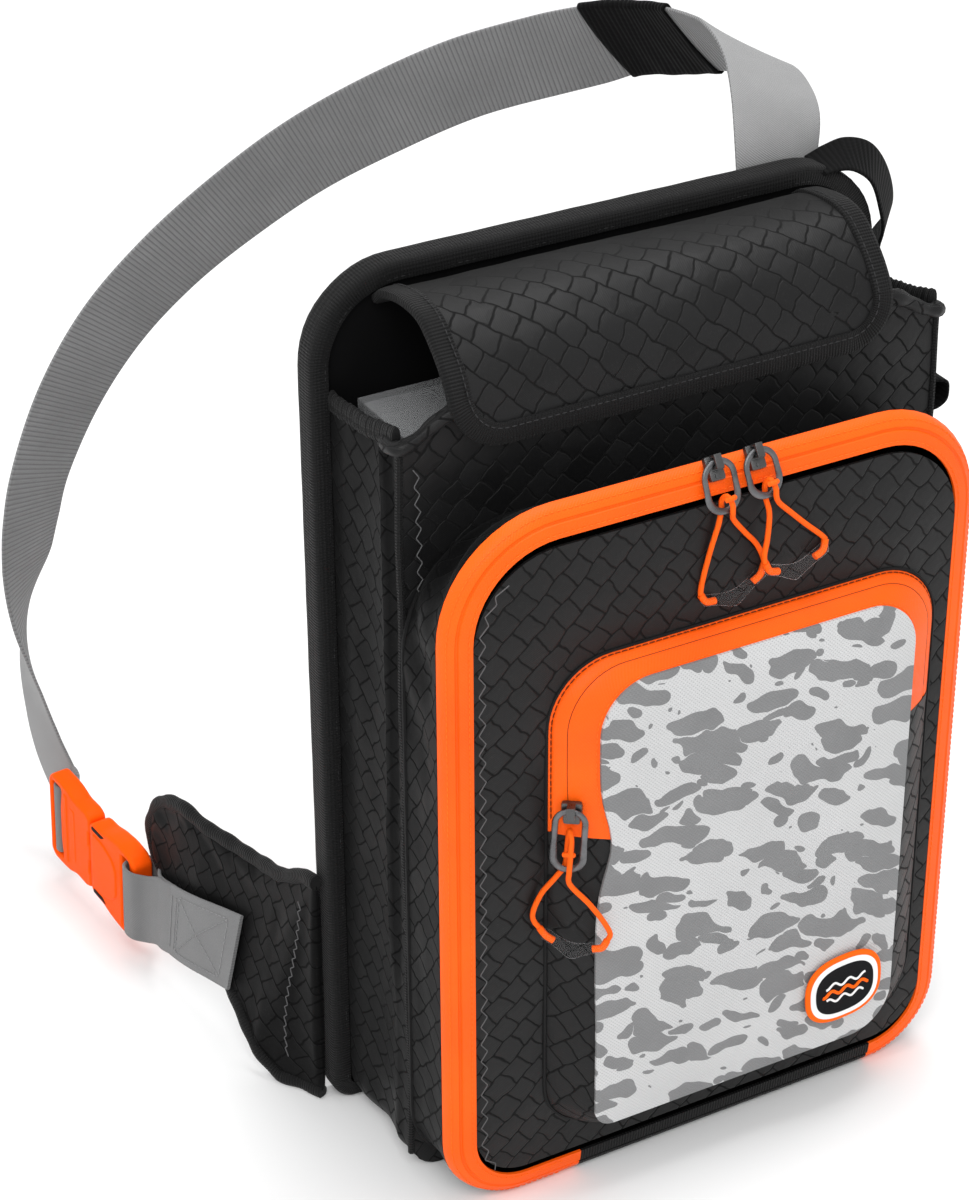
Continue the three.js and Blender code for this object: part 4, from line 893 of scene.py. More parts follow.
def badge():
    cx, cz, y = FACE["right"] - 27.0, FACE["bottom"] + 31.0, FACE_Y - 1.3
    turn = math.radians(3)

    def ring(a, b, depth, n=64, power=2.6):
        out = []
        for i in range(n):
            t = 2 * math.pi * i / n
            c, s = math.cos(t), math.sin(t)
            r = (abs(c / a) ** power + abs(s / b) ** power) ** (-1 / power)
            x, z = r * c, r * s
            out.append((cx + x * math.cos(turn) - z * math.sin(turn), y - depth,
                        cz + x * math.sin(turn) + z * math.cos(turn)))
        return out

    def disc(name, a, b, low, high, finish, rim=0.5):
        rings = [ring(a, b, low), ring(a, b, high - rim), ring(a - rim, b - rim, high),
                 ring(a * 0.5, b * 0.5, high),
                 ring(0.3, 0.3, high)]
        shape = len(rings), len(rings[0])
        faces = band_faces(*shape) + [end_faces(*shape)[1]]
        return piece(name, sum(rings, []), faces, finish, "badge_rubber", smooth=35)

    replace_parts(disc("badge_rim", 18.6, 16.2, -0.2, 1.0, "badge_orange"), "badge")
    disc("badge_ring", 16.6, 14.2, 0.9, 1.35, "badge_white", 0.2)
    disc("badge_field", 14.2, 11.8, 1.2, 1.6, "badge_black", 0.2)
    # three plain wave lines across the field
    waves = (3.6, 9.5, "badge_white"), (0, 11.0, "badge_orange"), (-3.8, 9.0, "badge_white")
    for k, (height, half, finish) in enumerate(waves):
        xs = np.linspace(-half, half, 40)
        line = [(cx + x, y - 1.62, cz + height + x * 0.05 + 1.1 * math.sin(x * 0.85 + k)) for x in xs]
        rod(f"badge_wave_{k + 1}", line, 0.55 if k != 1 else 0.8, 6, finish, "badge_rubber")
    # short bartacks on the face's right edge
    for k in range(4):
        z = 56.0 + k * 5.2
        line = [(FACE["right"] + 2.2 + 1.6 * (s % 2) * 2, POCKET_RIM + 2.6 + 1.3 * (s % 2) * 2,
                 z + s * 0.55) for s in range(7)]
        rod(f"side_bartack_{k + 1}", line, 0.35, 5, "thread_orange", "orange_zip")


# sleeve, flap and case

def rim_top(y):
    """Height of the sleeve side's upper edge at a place from back to front."""
    t = (SLEEVE_BACK - y) / 54.3
    return 326.8 + 9.12 * t * t


def sleeve():
    half, corner = 118.6, 14.0
    rows = 26
    ys = np.linspace(SLEEVE_BACK, SLEEVE_FRONT + 2.2, rows + 1)
    columns, quarter = [], np.linspace(0, math.pi / 2, 10)[:-1]
    for y in ys:
        top = rim_top(y) + 1.0
        path = [(-half, z) for z in np.linspace(top, corner, 60)[:-1]]
        path += [(-half + corner * (1 - math.cos(a)), corner * (1 - math.sin(a))) for a in quarter]
        path += [(x, 0.0) for x in np.linspace(-half + corner, half - corner, 30)[:-1]]
        path += [(half - corner * (1 - math.sin(a)), corner * (1 - math.cos(a))) for a in quarter]
        path += [(half, z) for z in np.linspace(corner, top, 60)]
        columns.append([(x, y, z) for x, z in path])
    p = grid(columns).transpose(1, 0, 2)
    t = np.linspace(0, 1, rows + 1)[None, :]
    z = p[..., 2]
    side = np.sign(p[..., 0]) * (np.abs(p[..., 0]) > 110)
    hold = np.sin(math.pi * np.clip(t, 0, 1)) ** 0.6
    ridge = 1.9 * np.exp(-((t - 0.80) / 0.045) ** 2) - 1.8 * np.exp(-((t - 0.90) / 0.04) ** 2)
    ridge = ridge * np.clip((z - 60) / 60, 0.25, 1)
    fold = 1.5 * np.sin(t * 9.0 + 1.6 * wobble(p * grid((1, 0.4, 1)), 110, 2)) * hold
    long_folds = 1.3 * wobble(p * grid((1, 2.6, 0.55)), 46, 12) * hold
    crease = 0.6 * wobble(p, 13, 21) * hold
    amount = -1.2 * hold + ridge + fold * 0.7 + long_folds + crease
    p[..., 0] += side * np.clip(amount, -3.4, 2.6)
    outward = 1.0 if (normals_of(p)[:40] * grid((-1, 0, 0))).sum() > 0 else -1.0
    cloth_wall("sleeve_side_cloth", p, 1.2, "ripstop_shaded", "black_cloth", outward=outward,
               replaces=["sleeve_gusset"], smooth=60)
    # bound corner seam down each side, where the side meets the front wall
    for s, name in ((-1, "left"), (1, "right")):
        zs = np.linspace(10, 333, 70)
        path = np.stack([s * (118.4 + 0.35 * np.sin(zs * 0.09)), np.full(70, SLEEVE_FRONT + 0.2), zs], axis=1)
        rod(f"sleeve_corner_{name}", path, 1.5, 8, "binding", "black_binding",
            uv=np.stack([np.repeat(zs, 8), np.tile(np.arange(8) * 1.2, 70)], axis=1))
    # front wall
    xs = np.linspace(-118.3, 118.3, 80)
    us = np.linspace(0, 1, 40)
    q = np.zeros((80, 40, 3))
    for i, x in enumerate(xs):
        over = max(0.0, abs(x) - 92.5) / 26.1
        top = 346.2 + (334.9 - 346.2) * over * over * (3 - 2 * over)
        foot = corner - math.sqrt(max(corner ** 2 - max(0.0, abs(x) - 104.6) ** 2, 0.0))
        q[i, :, 0] = x
        q[i, :, 2] = foot + (top - foot) * us
    q[..., 1] = SLEEVE_FRONT
    upper = np.clip((q[..., 2] - 300) / 20, 0, 1)
    side_hold = np.clip((118 - np.abs(q[..., 0])) / 12, 0, 1)
    swing = 0.7 + 0.9 * wobble(q, 48, 31) + 0.6 * np.sin(q[..., 0] * 0.12 + q[..., 2] * 0.2)
    q[..., 1] -= upper * side_hold * swing
    cloth_wall("sleeve_front_cloth", q, 1.4, "ripstop", "black_cloth", q[..., [0, 2]], facing(q, (0, -1, 0)),
               replaces=["sleeve_front_wall"], smooth=60)
    top_line = q[:, -1] + grid((0, -0.4, 0.2))
    top_line = np.concatenate([grid([(-118.6, -6.0, 334.0), (-119.0, -13.0, 334.4)]), top_line,
                               grid([(119.0, -13.0, 334.4), (118.6, -6.0, 334.0)])])
    top_line = even(curve_through(top_line, 2), 2.0)
    count = len(top_line)
    fat = 2.9 + 0.35 * np.sin(np.arange(count) * 0.45) + 0.25 * np.sin(np.arange(count) * 1.1)
    uv = np.stack([np.repeat(np.arange(count) * 2.0, 12), np.tile(np.arange(12) * 1.5, count)], axis=1)
    rod("sleeve_front_hem", top_line, list(fat), 12, "ripstop", "black_cloth", smooth=70, uv=uv)
    # light zigzag thread down the left corner
    line = [(-112.0 + 0.6 * math.sin(z * 0.05), SLEEVE_FRONT - 1.9, z) for z in np.linspace(262, 326, 30)]
    zigzag("corner_thread_left", line, (1, 0, 0), 7.0, 1.2, "thread_grey", "grey_webbing")


def gathered_rims():
    for s, name in ((-1, "left"), (1, "right")):
        steps, sides = 120, 14
        points, uv = [], []
        for k in range(steps + 1):
            y = SLEEVE_BACK + (SLEEVE_FRONT + 2.4 - SLEEVE_BACK) * k / steps
            gather = 0.5 * math.sin(k * 0.83) + 0.3 * math.sin(k * 0.37 + 1)
            lean = 1.0 * math.sin(k * 0.12)
            for i in range(sides):
                a = 2 * math.pi * i / sides
                w = (1.9 + 0.35 * gather) * math.cos(a)
                h = (4.4 + 0.45 * gather) * math.sin(a)
                points.append((s * (117.6 + w + lean * 0.3), y, rim_top(y) + 3.4 + h))
                uv.append((k * 0.45, i * 1.2))
        faces = band_faces(steps + 1, sides) + list(end_faces(steps + 1, sides))
        piece(f"side_rim_{name}", points, faces, "binding", "black_binding", uv=uv,
              replaces=[f"sleeve_rim_{name}"], smooth=60)


FLAP_LEFT, FLAP_RIGHT, FLAP_CORNER = -99.96, 93.06, 22.0
# the flap's line from the back to its bound edge: share of the sleeve's depth, how far below the panel's top
FLAP_ROWS = [
    (0.026, 12.4), (0.14, 8.0), (0.42, 4.6), (0.66, 6.0), (0.84, 13.2), (0.975, 21.2), (1.075, 31.0),
    (1.11, 41.0), (1.115, 50.0),
]
FLAP_REAR, FLAP_DEEP = 40.05, 56.0
FLAP_LINE = curve_through([(FLAP_REAR - b * FLAP_DEEP, PANEL_TOP - d) for b, d in FLAP_ROWS], 14)
FLAP_RUN = run_of(FLAP_LINE)
FLAP_LONG = FLAP_RUN[-1]


def on_flap(x, s, h=0.0):
    """A place s down the flap's line and h above it."""
    s = min(max(s, 0.0), FLAP_LONG)
    y = np.interp(s, FLAP_RUN, FLAP_LINE[:, 0])
    z = np.interp(s, FLAP_RUN, FLAP_LINE[:, 1])
    y2 = np.interp(min(s + 1.0, FLAP_LONG), FLAP_RUN, FLAP_LINE[:, 0])
    z2 = np.interp(min(s + 1.0, FLAP_LONG), FLAP_RUN, FLAP_LINE[:, 1])
    y1 = np.interp(max(s - 1.0, 0.0), FLAP_RUN, FLAP_LINE[:, 0])
    z1 = np.interp(max(s - 1.0, 0.0), FLAP_RUN, FLAP_LINE[:, 1])
    d = math.hypot(y2 - y1, z2 - z1)
    return grid((x, y + h * (z2 - z1) / d, z - h * (y2 - y1) / d))


def flap_edge(s):
    """How far the flap's side lies in from its full width at a place down its length."""
    r = FLAP_CORNER
    over = max(0.0, s - (FLAP_LONG - r))
    return r - math.sqrt(max(r * r - over * over, 0.0))


def flap():
    across, down = 90, 56
    low = FLAP_LONG - 2.0
    p = np.zeros((across + 1, down + 1, 3))
    for j in range(down + 1):
        s = low * j / down
        pull = flap_edge(s) + 2.0
        for i in range(across + 1):
            x = FLAP_LEFT + pull + (FLAP_RIGHT - FLAP_LEFT - 2 * pull) * i / across
            p[i, j] = on_flap(x, s, 1.2)
    u = np.linspace(0, 1, across + 1)[:, None]
    w = np.linspace(0, 1, down + 1)[None, :]
    hold = np.clip(np.minimum(u, 1 - u) * 9, 0, 1) * np.clip(np.minimum(w, 1 - w) * 7, 0, 1)
    rows = 0.9 * np.sin(w * 13 + 1.3 * wobble(p * grid((0.35, 1, 1)), 70, 3)) * np.clip((w - 0.1) * 3, 0, 1)
    dips = 1.3 * wobble(p * grid((0.7, 1.3, 1.3)), 38, 14)
    fine = 0.35 * wobble(p, 11, 5)
    n = normals_of(p)
    if n[..., 2].sum() < 0:
        n = -n
    p = p + n * (hold * (rows + dips + fine - 0.4))[..., None]
    uv = np.stack([p[..., 0], (w * low).repeat(across + 1, 0)], 2)
    sheet = cloth_wall("flap_cloth", p, 1.8, "ripstop_flap", "black_cloth", uv, facing(p, (0, 0, 1)),
                       replaces=["flap"], smooth=60)
    # bound edge, folded over both faces
    path = []
    straight = FLAP_LONG - FLAP_CORNER
    for s in np.linspace(0, straight, 46)[:-1]:
        path.append((FLAP_LEFT, s, 1, 0))
    for a in np.linspace(0, math.pi / 2, 16)[:-1]:
        path.append((FLAP_LEFT + FLAP_CORNER * (1 - math.cos(a)), straight + FLAP_CORNER * math.sin(a),
                     math.cos(a), -math.sin(a)))
    for x in np.linspace(FLAP_LEFT + FLAP_CORNER, FLAP_RIGHT - FLAP_CORNER, 60)[:-1]:
        path.append((x, FLAP_LONG, 0, -1))
    for a in np.linspace(math.pi / 2, 0, 16)[:-1]:
        path.append((FLAP_RIGHT - FLAP_CORNER * (1 - math.cos(a)), straight + FLAP_CORNER * math.sin(a),
                     -math.cos(a), -math.sin(a)))
    for s in np.linspace(straight, 0, 46):
        path.append((FLAP_RIGHT, s, -1, 0))
    section = [(9.0, 1.9), (8.6, 2.25), (5.0, 2.2), (1.6, 2.1), (0.35, 1.5), (0.0, 0.0), (0.35, -1.5),
               (1.6, -2.1), (5.0, -2.2),
               (8.6, -2.25), (9.0, -1.9), (9.0, 0.0)]
    points, uv, line = [], [], []
    run, before = 0.0, None
    for x, s, dx, ds in path:
        here = on_flap(x, s)
        run += 0.0 if before is None else float(np.linalg.norm(here - before))
        before = here
        ripple = 0.22 * math.sin(run * 0.33) + 0.25 * noise.noise(Vector((run * 0.06, 3, 1)))
        for i, (d, h) in enumerate(section):
            points.append(on_flap(x + dx * d, s + ds * d, h + (ripple if h > 0 else -ripple) * min(d / 5, 1)))
            uv.append((run, i * 2.2))
        line.append(on_flap(x + dx * 7.2, s + ds * 7.2, 2.42))
    shape = len(path), len(section)
    faces = band_faces(*shape) + list(end_faces(*shape))
    piece("flap_binding_tape", points, faces, "binding", "black_binding", uv=uv, replaces=["flap_binding"],
          smooth=50)
    stitches("flap_binding_stitch", line, "thread_black", "black_binding", 3.0, 2.2, 0.24)


# back panel

def back_binding():
    out_y = 50.7
    front = out_y - 12.0
    section = [(7.0, 40.05), (7.0, front), (5.5, front - 0.05), (1.4, front + 0.1), (0.3, front + 1.0),
               (0.0, front + 2.6),
               (0.0, out_y - 2.6), (0.3, out_y - 1.0), (1.4, out_y - 0.1), (5.5, out_y),
               (7.0, out_y - 0.1), (7.0, 49.3)]
    rings = [ring_of(PANEL, d) for d, _ in section]
    count = len(rings[0])
    points, uv = [], []
    run = run_of(rings[5])
    for k in range(count):
        for i, (d, y) in enumerate(section):
            soft = 0.25 * math.sin(run[k] * 0.21 + i) * (1 if 0 < i < 11 else 0)
            points.append((rings[i][k][0], y + soft * (-1 if y < 45 else 1) * 0.6, max(rings[i][k][1], 0.4)))
            uv.append((run[k], i * 1.8))
    n = len(section)
    faces = [(k * n + i, k * n + i + 1, (k + 1) * n + i + 1, (k + 1) * n + i) for k in range(count - 1)
             for i in range(n - 1)]
    tape_piece = piece("panel_binding_tape", points, faces, "binding", "black_binding", uv=uv,
                       replaces=["back_binding"], smooth=50)
    mod = tape_piece.modifiers.new("thickness", "SOLIDIFY")
    mod.thickness = 0.0007
    mod.offset = 0.0
    ring = ring_of(PANEL, 5.9)[:-1]
    stitches("panel_binding_stitch_front", at_y(ring, front - 0.15), "thread_black", "black_binding", 3.0,
             2.2, 0.24)
    stitches("panel_binding_stitch_back", at_y(ring, out_y + 0.1), "thread_black", "black_binding", 3.0,
             2.2, 0.24)


def plate_mesh(front_rings, back_rings):
    n = len(front_rings[0])
    points = np.concatenate(front_rings + back_rings)
    rings = len(front_rings)
    at = lambda side, k, i: (side * rings + k) * n + i % n
    faces = []
    for i in range(n):
        for k in range(rings - 1):
            faces.append((at(0, k, i), at(0, k + 1, i), at(0, k + 1, i + 1), at(0, k, i + 1)))
            faces.append((at(1, k, i), at(1, k, i + 1), at(1, k + 1, i + 1), at(1, k + 1, i)))
        faces.append((at(0, 0, i), at(0, 0, i + 1), at(1, 0, i + 1), at(1, 0, i)))
    faces.append(tuple(at(0, rings - 1, i) for i in range(n)))
    faces.append(tuple(at(1, rings - 1, n - 1 - i) for i in range(n)))
    return points, faces


def swell(obj, voxel, pressure, cap, pinned=None):
    """Pads a closed shape with cloth under pressure. No point moves further than cap, in metres."""
    bpy.context.view_layer.objects.active = obj
    data = obj.data
    if voxel:
        mod = obj.modifiers.new("remesh", "REMESH")
        mod.mode = "VOXEL"
        mod.voxel_size = voxel
        depsgraph = bpy.context.evaluated_depsgraph_get()
        data = bpy.data.meshes.new_from_object(obj.evaluated_get(depsgraph))
        obj.modifiers.clear()
        obj.data = data
    count = len(data.vertices)
    start = np.empty(count * 3)
    data.vertices.foreach_get("co", start)
    start = start.reshape(-1, 3)
    if pinned is not None:
        hold = obj.vertex_groups.new(name="held")
        for k, weight in enumerate(pinned(start)):
            if weight > 0:
                hold.add([k], float(weight), "REPLACE")
    mod = obj.modifiers.new("cloth", "CLOTH")
    mod.settings.quality = 5
    mod.settings.mass = 0.2
    mod.settings.tension_stiffness = 15
    mod.settings.compression_stiffness = 15
    mod.settings.use_pressure = True
    mod.settings.uniform_pressure_force = pressure
    mod.settings.effector_weights.gravity = 0.0
    if pinned is not None:
        mod.settings.vertex_group_mass = "held"
    scene.frame_start, scene.frame_end = 1, 20
    for f in range(1, 21):
        scene.frame_set(f)
    depsgraph = bpy.context.evaluated_depsgraph_get()
    moved = bpy.data.meshes.new_from_object(obj.evaluated_get(depsgraph))
    end = np.empty(count * 3)
    moved.vertices.foreach_get("co", end)
    shift = end.reshape(-1, 3) - start
    size = np.maximum(np.linalg.norm(shift, axis=1, keepdims=True), 1e-9)
    shift *= np.minimum(1.0, cap / size)
    obj.modifiers.clear()
    scene.frame_set(1)
    data.vertices.foreach_set("co", (start + shift).ravel())
    data.update()


def place_of(obj):
    co = np.empty(len(obj.data.vertices) * 3)
    obj.data.vertices.foreach_get("co", co)
    return co.reshape(-1, 3) / MM


def set_place(obj, co):
    obj.data.vertices.foreach_set("co", (grid(co) * MM).ravel())
    obj.data.update()


def smooth_step(x):
    x = np.clip(x, 0, 1)
    return x * x * (3 - 2 * x)


def pad(name, points, faces, finish, node, voxel, cap, shape, extra=(), uv=None, pinned=None):
    data = bpy.data.meshes.new(name)
    data.from_pydata((grid(points) * MM).tolist(), [], faces)
    if uv is not None:
        lay_uv(data, uv)
    obj = bpy.data.objects.new(name, data)
    scene.collection.objects.link(obj)
    swell(obj, voxel * MM, 4.0, cap * MM, pinned)
    set_place(obj, shape(place_of(obj)))
    obj.data.shade_smooth()
    obj.data.materials.clear()
    for f in (finish, *extra):
        obj.data.materials.append(FINISH[f])
    mod = obj.modifiers.new("rounding", "SUBSURF")
    mod.levels = mod.render_levels = 1
    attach(obj, "root")
    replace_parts(obj, node)
    return obj


def back_panel():
    steps = dict(half=6, corner=6, side=14)
    fronts = [at_y(ring_of(PANEL, d, **steps)[:-1], 41.2) for d in (3.2, 14, 40, 80)]
    backs = [at_y(ring_of(PANEL, d, **steps)[:-1], y) for d,
             y in ((3.2, 48.2), (14, 48.4), (40, 48.6), (80, 48.6))]
    points, faces = plate_mesh(fronts, backs)

    def rim_gap(co):
        """How far points lie in from the panel's outline."""
        x, z = np.abs(co[:, 0]), co[:, 2]
        gap = np.minimum(np.minimum(HALF_PANEL - x, z), PANEL_TOP - z)
        over_x, over_z = x - (HALF_PANEL - PANEL_CORNER), z - (PANEL_TOP - PANEL_CORNER)
        round_off = PANEL_CORNER - np.hypot(np.maximum(over_x, 0), np.maximum(over_z, 0))
        return np.where((over_x > 0) & (over_z > 0), round_off, gap)

    def held(co):
        return (rim_gap(co / MM) < 9.0).astype(float)

    def shape(co):
        back = smooth_step((co[:, 1] - 44.0) / 3.0)
        x, z = co[:, 0], co[:, 2]
        edge = rim_gap(co)
        crown = 1.7 * smooth_step((edge - 7) / 26)
        channel = np.zeros(len(x))
        for at in (-62.0, 62.0):
            channel += np.exp(-((x - at) / 3.0) ** 2) * smooth_step((edge - 30) / 8)
        for at in (46.0, 150.0, 240.0, 334.0):
            channel += np.exp(-((z - at) / 3.0) ** 2) * smooth_step((68 - np.abs(x)) / 8)
        y = np.where(back > 0.01, 48.4 + crown - 1.9 * np.minimum(channel, 1.0) + 0.25 * wobble(co, 40, 2),
                     co[:, 1])
        y = np.where(back > 0.5, np.minimum(y, 50.9), np.clip(co[:, 1], 40.5, 50.0))
        keep = smooth_step((edge - 2) / 6)
        co[:, 1] = np.where(back > 0.5, 48.6 * (1 - keep) + y * keep, y)
        co[:, 0] = np.clip(x, -123.6, 123.6)
        co[:, 2] = np.clip(z, 2.3, 377.6)
        return co

    obj = pad("back_panel_pad", points, faces, "mesh", "back_panel", 4.0, 5.0, shape,
              ("lining",), pinned=held)
    # the face towards the sleeve is its smooth black lining
    for polygon in obj.data.polygons:
        polygon.material_index = int(polygon.normal.y < -0.3)
    channels = [((x, 46), (x, 334)) for x in (-62, 62)] + [((-62, z), (62, z)) for z in (46, 150, 240, 334)]
    for k, (a, b) in enumerate(channels):
        line = [(a[0] + (b[0] - a[0]) * t, 48.75, a[1] + (b[1] - a[1]) * t) for t in np.linspace(0, 1, 40)]
        stitches(f"back_channel_stitch_{k + 1}", line, "thread_black", "black_cloth", 3.2, 2.4, 0.3)


# rows of the wing: share of its length, lower edge, upper edge, how far out, flare at its foot
WING = [
    (-0.02, 2.5, 110, 0, 0), (0.06, 2.2, 108, 0.3, 4), (0.14, 3, 102, 0.5, 11), (0.22, 11, 97, 0.2, 18),
    (0.35, 26, 93, -1.2, 24), (0.5, 35, 91, 1.8, 22), (0.65, 42, 91, 8.3, 16), (0.78, 45, 92, 12, 11),
    (0.88, 48, 88, 13.9, 7), (0.95, 52, 82, 16.2, 4), (1.0, 59, 72, 17.4, 2),
]
WING_X, WING_Y, WING_LONG, WING_TALL = -128.75, 46.0, 128.0, 114.0


def wing_row(back):
    """Lower edge, upper edge, outward place and flare of the wing at a share of its length."""
    table = grid(WING)
    return [np.interp(back, table[:, 0], table[:, k]) for k in range(1, 5)]


def wing_place(back, t, h=0.0):
    """A place on the wing's middle face, or h millimetres outside it."""
    low, high, out, flare = wing_row(back)
    z = low + (high - low) * t
    return grid((WING_X - out - flare * (1 - z / WING_TALL) - h, WING_Y + back * WING_LONG, z))


def wing():
    backs = list(np.linspace(-0.015, 0.94, 50)) + [0.955, 0.97, 0.982, 0.992, 0.998]
    rows = np.linspace(0, 1, 33)
    outside, inside, uv = [], [], []
    for b in backs:
        tip = math.sqrt(max(1.0 - b, 0.0) / 0.06) if b > 0.94 else 1.0
        for t in rows:
            crown = 1 - abs(2 * t - 1) ** 6
            place = wing_place(b, t)
            dents = 0.35 * wobble(place[None, :], 22, 3)[0] * crown
            outside.append(wing_place(b, t, (1.0 + 2.0 * crown + dents) * max(tip, 0.4)))
            inside.append(wing_place(b, t, -(1.0 + 1.6 * crown) * max(tip, 0.4)))
            uv.append((place[1], place[2]))
    n, m = len(backs), len(rows)

    def shape(co):
        co[:, 2] = np.maximum(co[:, 2], 1.2)
        return co

    def held(co):
        return np.tile(((rows < 0.02) | (rows > 0.98)).astype(float), 2 * n)

    pad("wing_pad", outside + inside, wall_faces(n, m), "ripstop_shaded", "wing", 0,
        1.6, shape,
        uv=grid(uv + uv), pinned=held)
    # bound rim of the wing, thick and rolled
    rim = [wing_place(b, 1.0) for b in np.linspace(-0.01, 0.93, 60)]
    rim += [wing_place(b, t) for b,
            t in ((0.955, 0.97), (0.975, 0.9), (0.99, 0.78), (0.998, 0.6), (1.0, 0.5), (0.998, 0.4),
                  (0.99, 0.22),
                                          (0.975, 0.1), (0.955, 0.03))]
    rim += [wing_place(b, 0.0) for b in np.linspace(0.93, -0.01, 60)]
    rim = even(curve_through(rim, 2), 2.0)
    rim[:, 2] = np.maximum(rim[:, 2], 3.0)
    count, sides = len(rim), 14
    tangent = unit(np.gradient(rim, axis=0))
    points, uv = [], []
    for k in range(count):
        inward = np.cross(tangent[k], grid((-1, 0, 0)))
        inward /= np.linalg.norm(inward)
        out = np.cross(inward, tangent[k])
        lump = 1 + 0.06 * math.sin(k * 0.9) + 0.04 * math.sin(k * 0.37)
        for i in range(sides):
            a = 2 * math.pi * i / sides
            points.append(rim[k] + inward * (3.4 * math.cos(a) + 0.6) * lump + out * 2.75 * math.sin(a)
                          * lump)
            uv.append((k * 2.0, i * 1.5))
    first, last = end_faces(count, sides)
    faces = band_faces(count, sides) + [first[::-1], last]
    points = grid(points)
    points[:, 2] = np.maximum(points[:, 2], 0.1)
    piece("wing_binding", points, faces, "binding", "black_binding", uv=uv, smooth=70)
    # light zigzag thread at the wing's root
    line = [wing_place(0.075 + 0.03 * math.sin(t * 5), t, 3.9) for t in np.linspace(0.14, 0.9, 40)]
    zigzag("wing_root_thread", line, (0, 1, 0), 5.2, 1.3, "thread_grey", "grey_webbing")


# strap, buckle and loops

# rows of the strap: place across, behind and up as shares, then the webbing's sideways direction
STRAP_ROWS = [
    (0.37, 0.0, 0.905, 38, 0, 0), (0.37, 0.0, 0.955, 38, 0, 0), (0.369, 0.007, 1.004, 38, -1, -1),
    (0.387, 0.043, 1.044, 36, -7, -7), (0.41, 0.109, 1.066, 35, -7, -13),
    (0.43, 0.186, 1.072, 33, -7, -17), (0.446, 0.264, 1.062, 29, -9, -23),
    (0.453, 0.342, 1.047, 25, -10, -27), (0.449, 0.42, 1.036, 23, -9, -29),
    (0.432, 0.495, 1.024, 21, -7, -32), (0.405, 0.566, 1.013, 19, -4, -32),
    (0.367, 0.631, 0.995, 14, -6, -35), (0.318, 0.69, 0.978, 11, -6, -36),
    (0.197, 0.785, 0.945, 12, -6, -35), (0.061, 0.847, 0.906, 14, -6, -35),
    (-0.078, 0.894, 0.862, 18, -3, -33), (-0.21, 0.931, 0.808, 22, 0, -31),
    (-0.333, 0.964, 0.747, 26, 3, -28), (-0.445, 0.99, 0.675, 29, 5, -24),
    (-0.54, 0.996, 0.593, 31, 9, -20), (-0.613, 0.988, 0.5039, 31, 14, -16),
    (-0.637, 0.986, 0.45, 30, 16, -15), (-0.65, 0.99, 0.3987, 28, 20, -14),
    (-0.662, 0.997, 0.3421, 22, 29, -12), (-0.664, 1.003, 0.2842, 13, 35, -8),
    (-0.661, 0.999, 0.2289, 5, 37, -8), (-0.656, 0.982, 0.1816, 1, 36, -12),
    (-0.652, 0.954, 0.1447, -1, 31, -22), (-0.647, 0.917, 0.1184, -1, 24, -29),
    (-0.644, 0.879, 0.1039, 0, 14, -35), (-0.644, 0.844, 0.1, 0, 7, -37),
    (-0.655, 0.816, 0.1, 0, 4, -38), (-0.682, 0.808, 0.1008, 0, 3, -38),
]
STRAP_SPAN = 12
# the rows' places are shares of these three lengths, behind the panel's back
STRAP_SHARE, STRAP_BEHIND = (238.0, 233.0, 380.0), 52.3


def strap_frames():
    wide, deep, tall = STRAP_SHARE
    centre = curve_through([(x * wide, STRAP_BEHIND + b * deep, u * tall) for x, b, u, *_ in STRAP_ROWS],
                           STRAP_SPAN)
    lean = curve_through([row[3:] for row in STRAP_ROWS], STRAP_SPAN)
    along = unit(np.gradient(centre, axis=0))
    across = unit(lean - along * (lean * along).sum(1, keepdims=True))
    return centre, across, np.cross(along, across)


def folded(name, near, rest, finish):
    """Webbing round a bar of the buckle: places along and above it, then pairs of edge points."""
    x, y, z = buckle_basis()
    places = [BUCKLE_END + x * d + z * o for d, o in near]
    pairs = [(p + y * HALF_WEBBING, p - y * HALF_WEBBING) for p in places] + list(rest)
    up, dn = (curve_through([p[k] for p in pairs], 6) for k in (0, 1))
    centre, across = (up + dn) / 2, up - dn
    wide = np.linalg.norm(across, axis=1, keepdims=True)
    across /= wide
    normal = unit(np.cross(np.gradient(centre, axis=0), across))
    ribbon(name, centre, across * wide / (2 * HALF_WEBBING), normal, HALF_WEBBING, 1.5, finish, finish,
           "grey_webbing", [])


def ribbon(name, centre, across, normal, half, thick, finish_up, finish_down, slot, replaces):
    """Flat webbing with rounded edges. The face towards normal takes finish_up."""
    run = run_of(centre)
    h, rim = thick / 2, 0.55
    ws = [-half + rim] + list(np.linspace(-half + 1.6, half - 1.6, 9)) + [half - rim]
    section = [(w, h) for w in ws] + [(half - 0.12, h * 0.6), (half, 0.0), (half - 0.12, -h * 0.6)]
    section += [(w, -h) for w in ws[::-1]] + [(-half + 0.12, -h * 0.6), (-half, 0.0), (-half + 0.12, h * 0.6)]
    n = len(section)
    points, uv = [], []
    for k in range(len(centre)):
        for w, d in section:
            points.append(centre[k] + across[k] * w + normal[k] * d)
            uv.append((run[k], w))
    faces = [(a, d, c, b) for a, b, c, d in band_faces(len(centre), n)]
    first, last = end_faces(len(centre), n)
    obj = piece(name, points, faces + [first, last[::-1]], finish_up, slot, uv=uv, replaces=replaces,
                smooth=60, extra=(finish_down,))
    under = set(range(len(ws) + 3, 2 * len(ws) + 3))
    for polygon in obj.data.polygons:
        if polygon.index % n in under and polygon.index < len(faces):
            polygon.material_index = 1


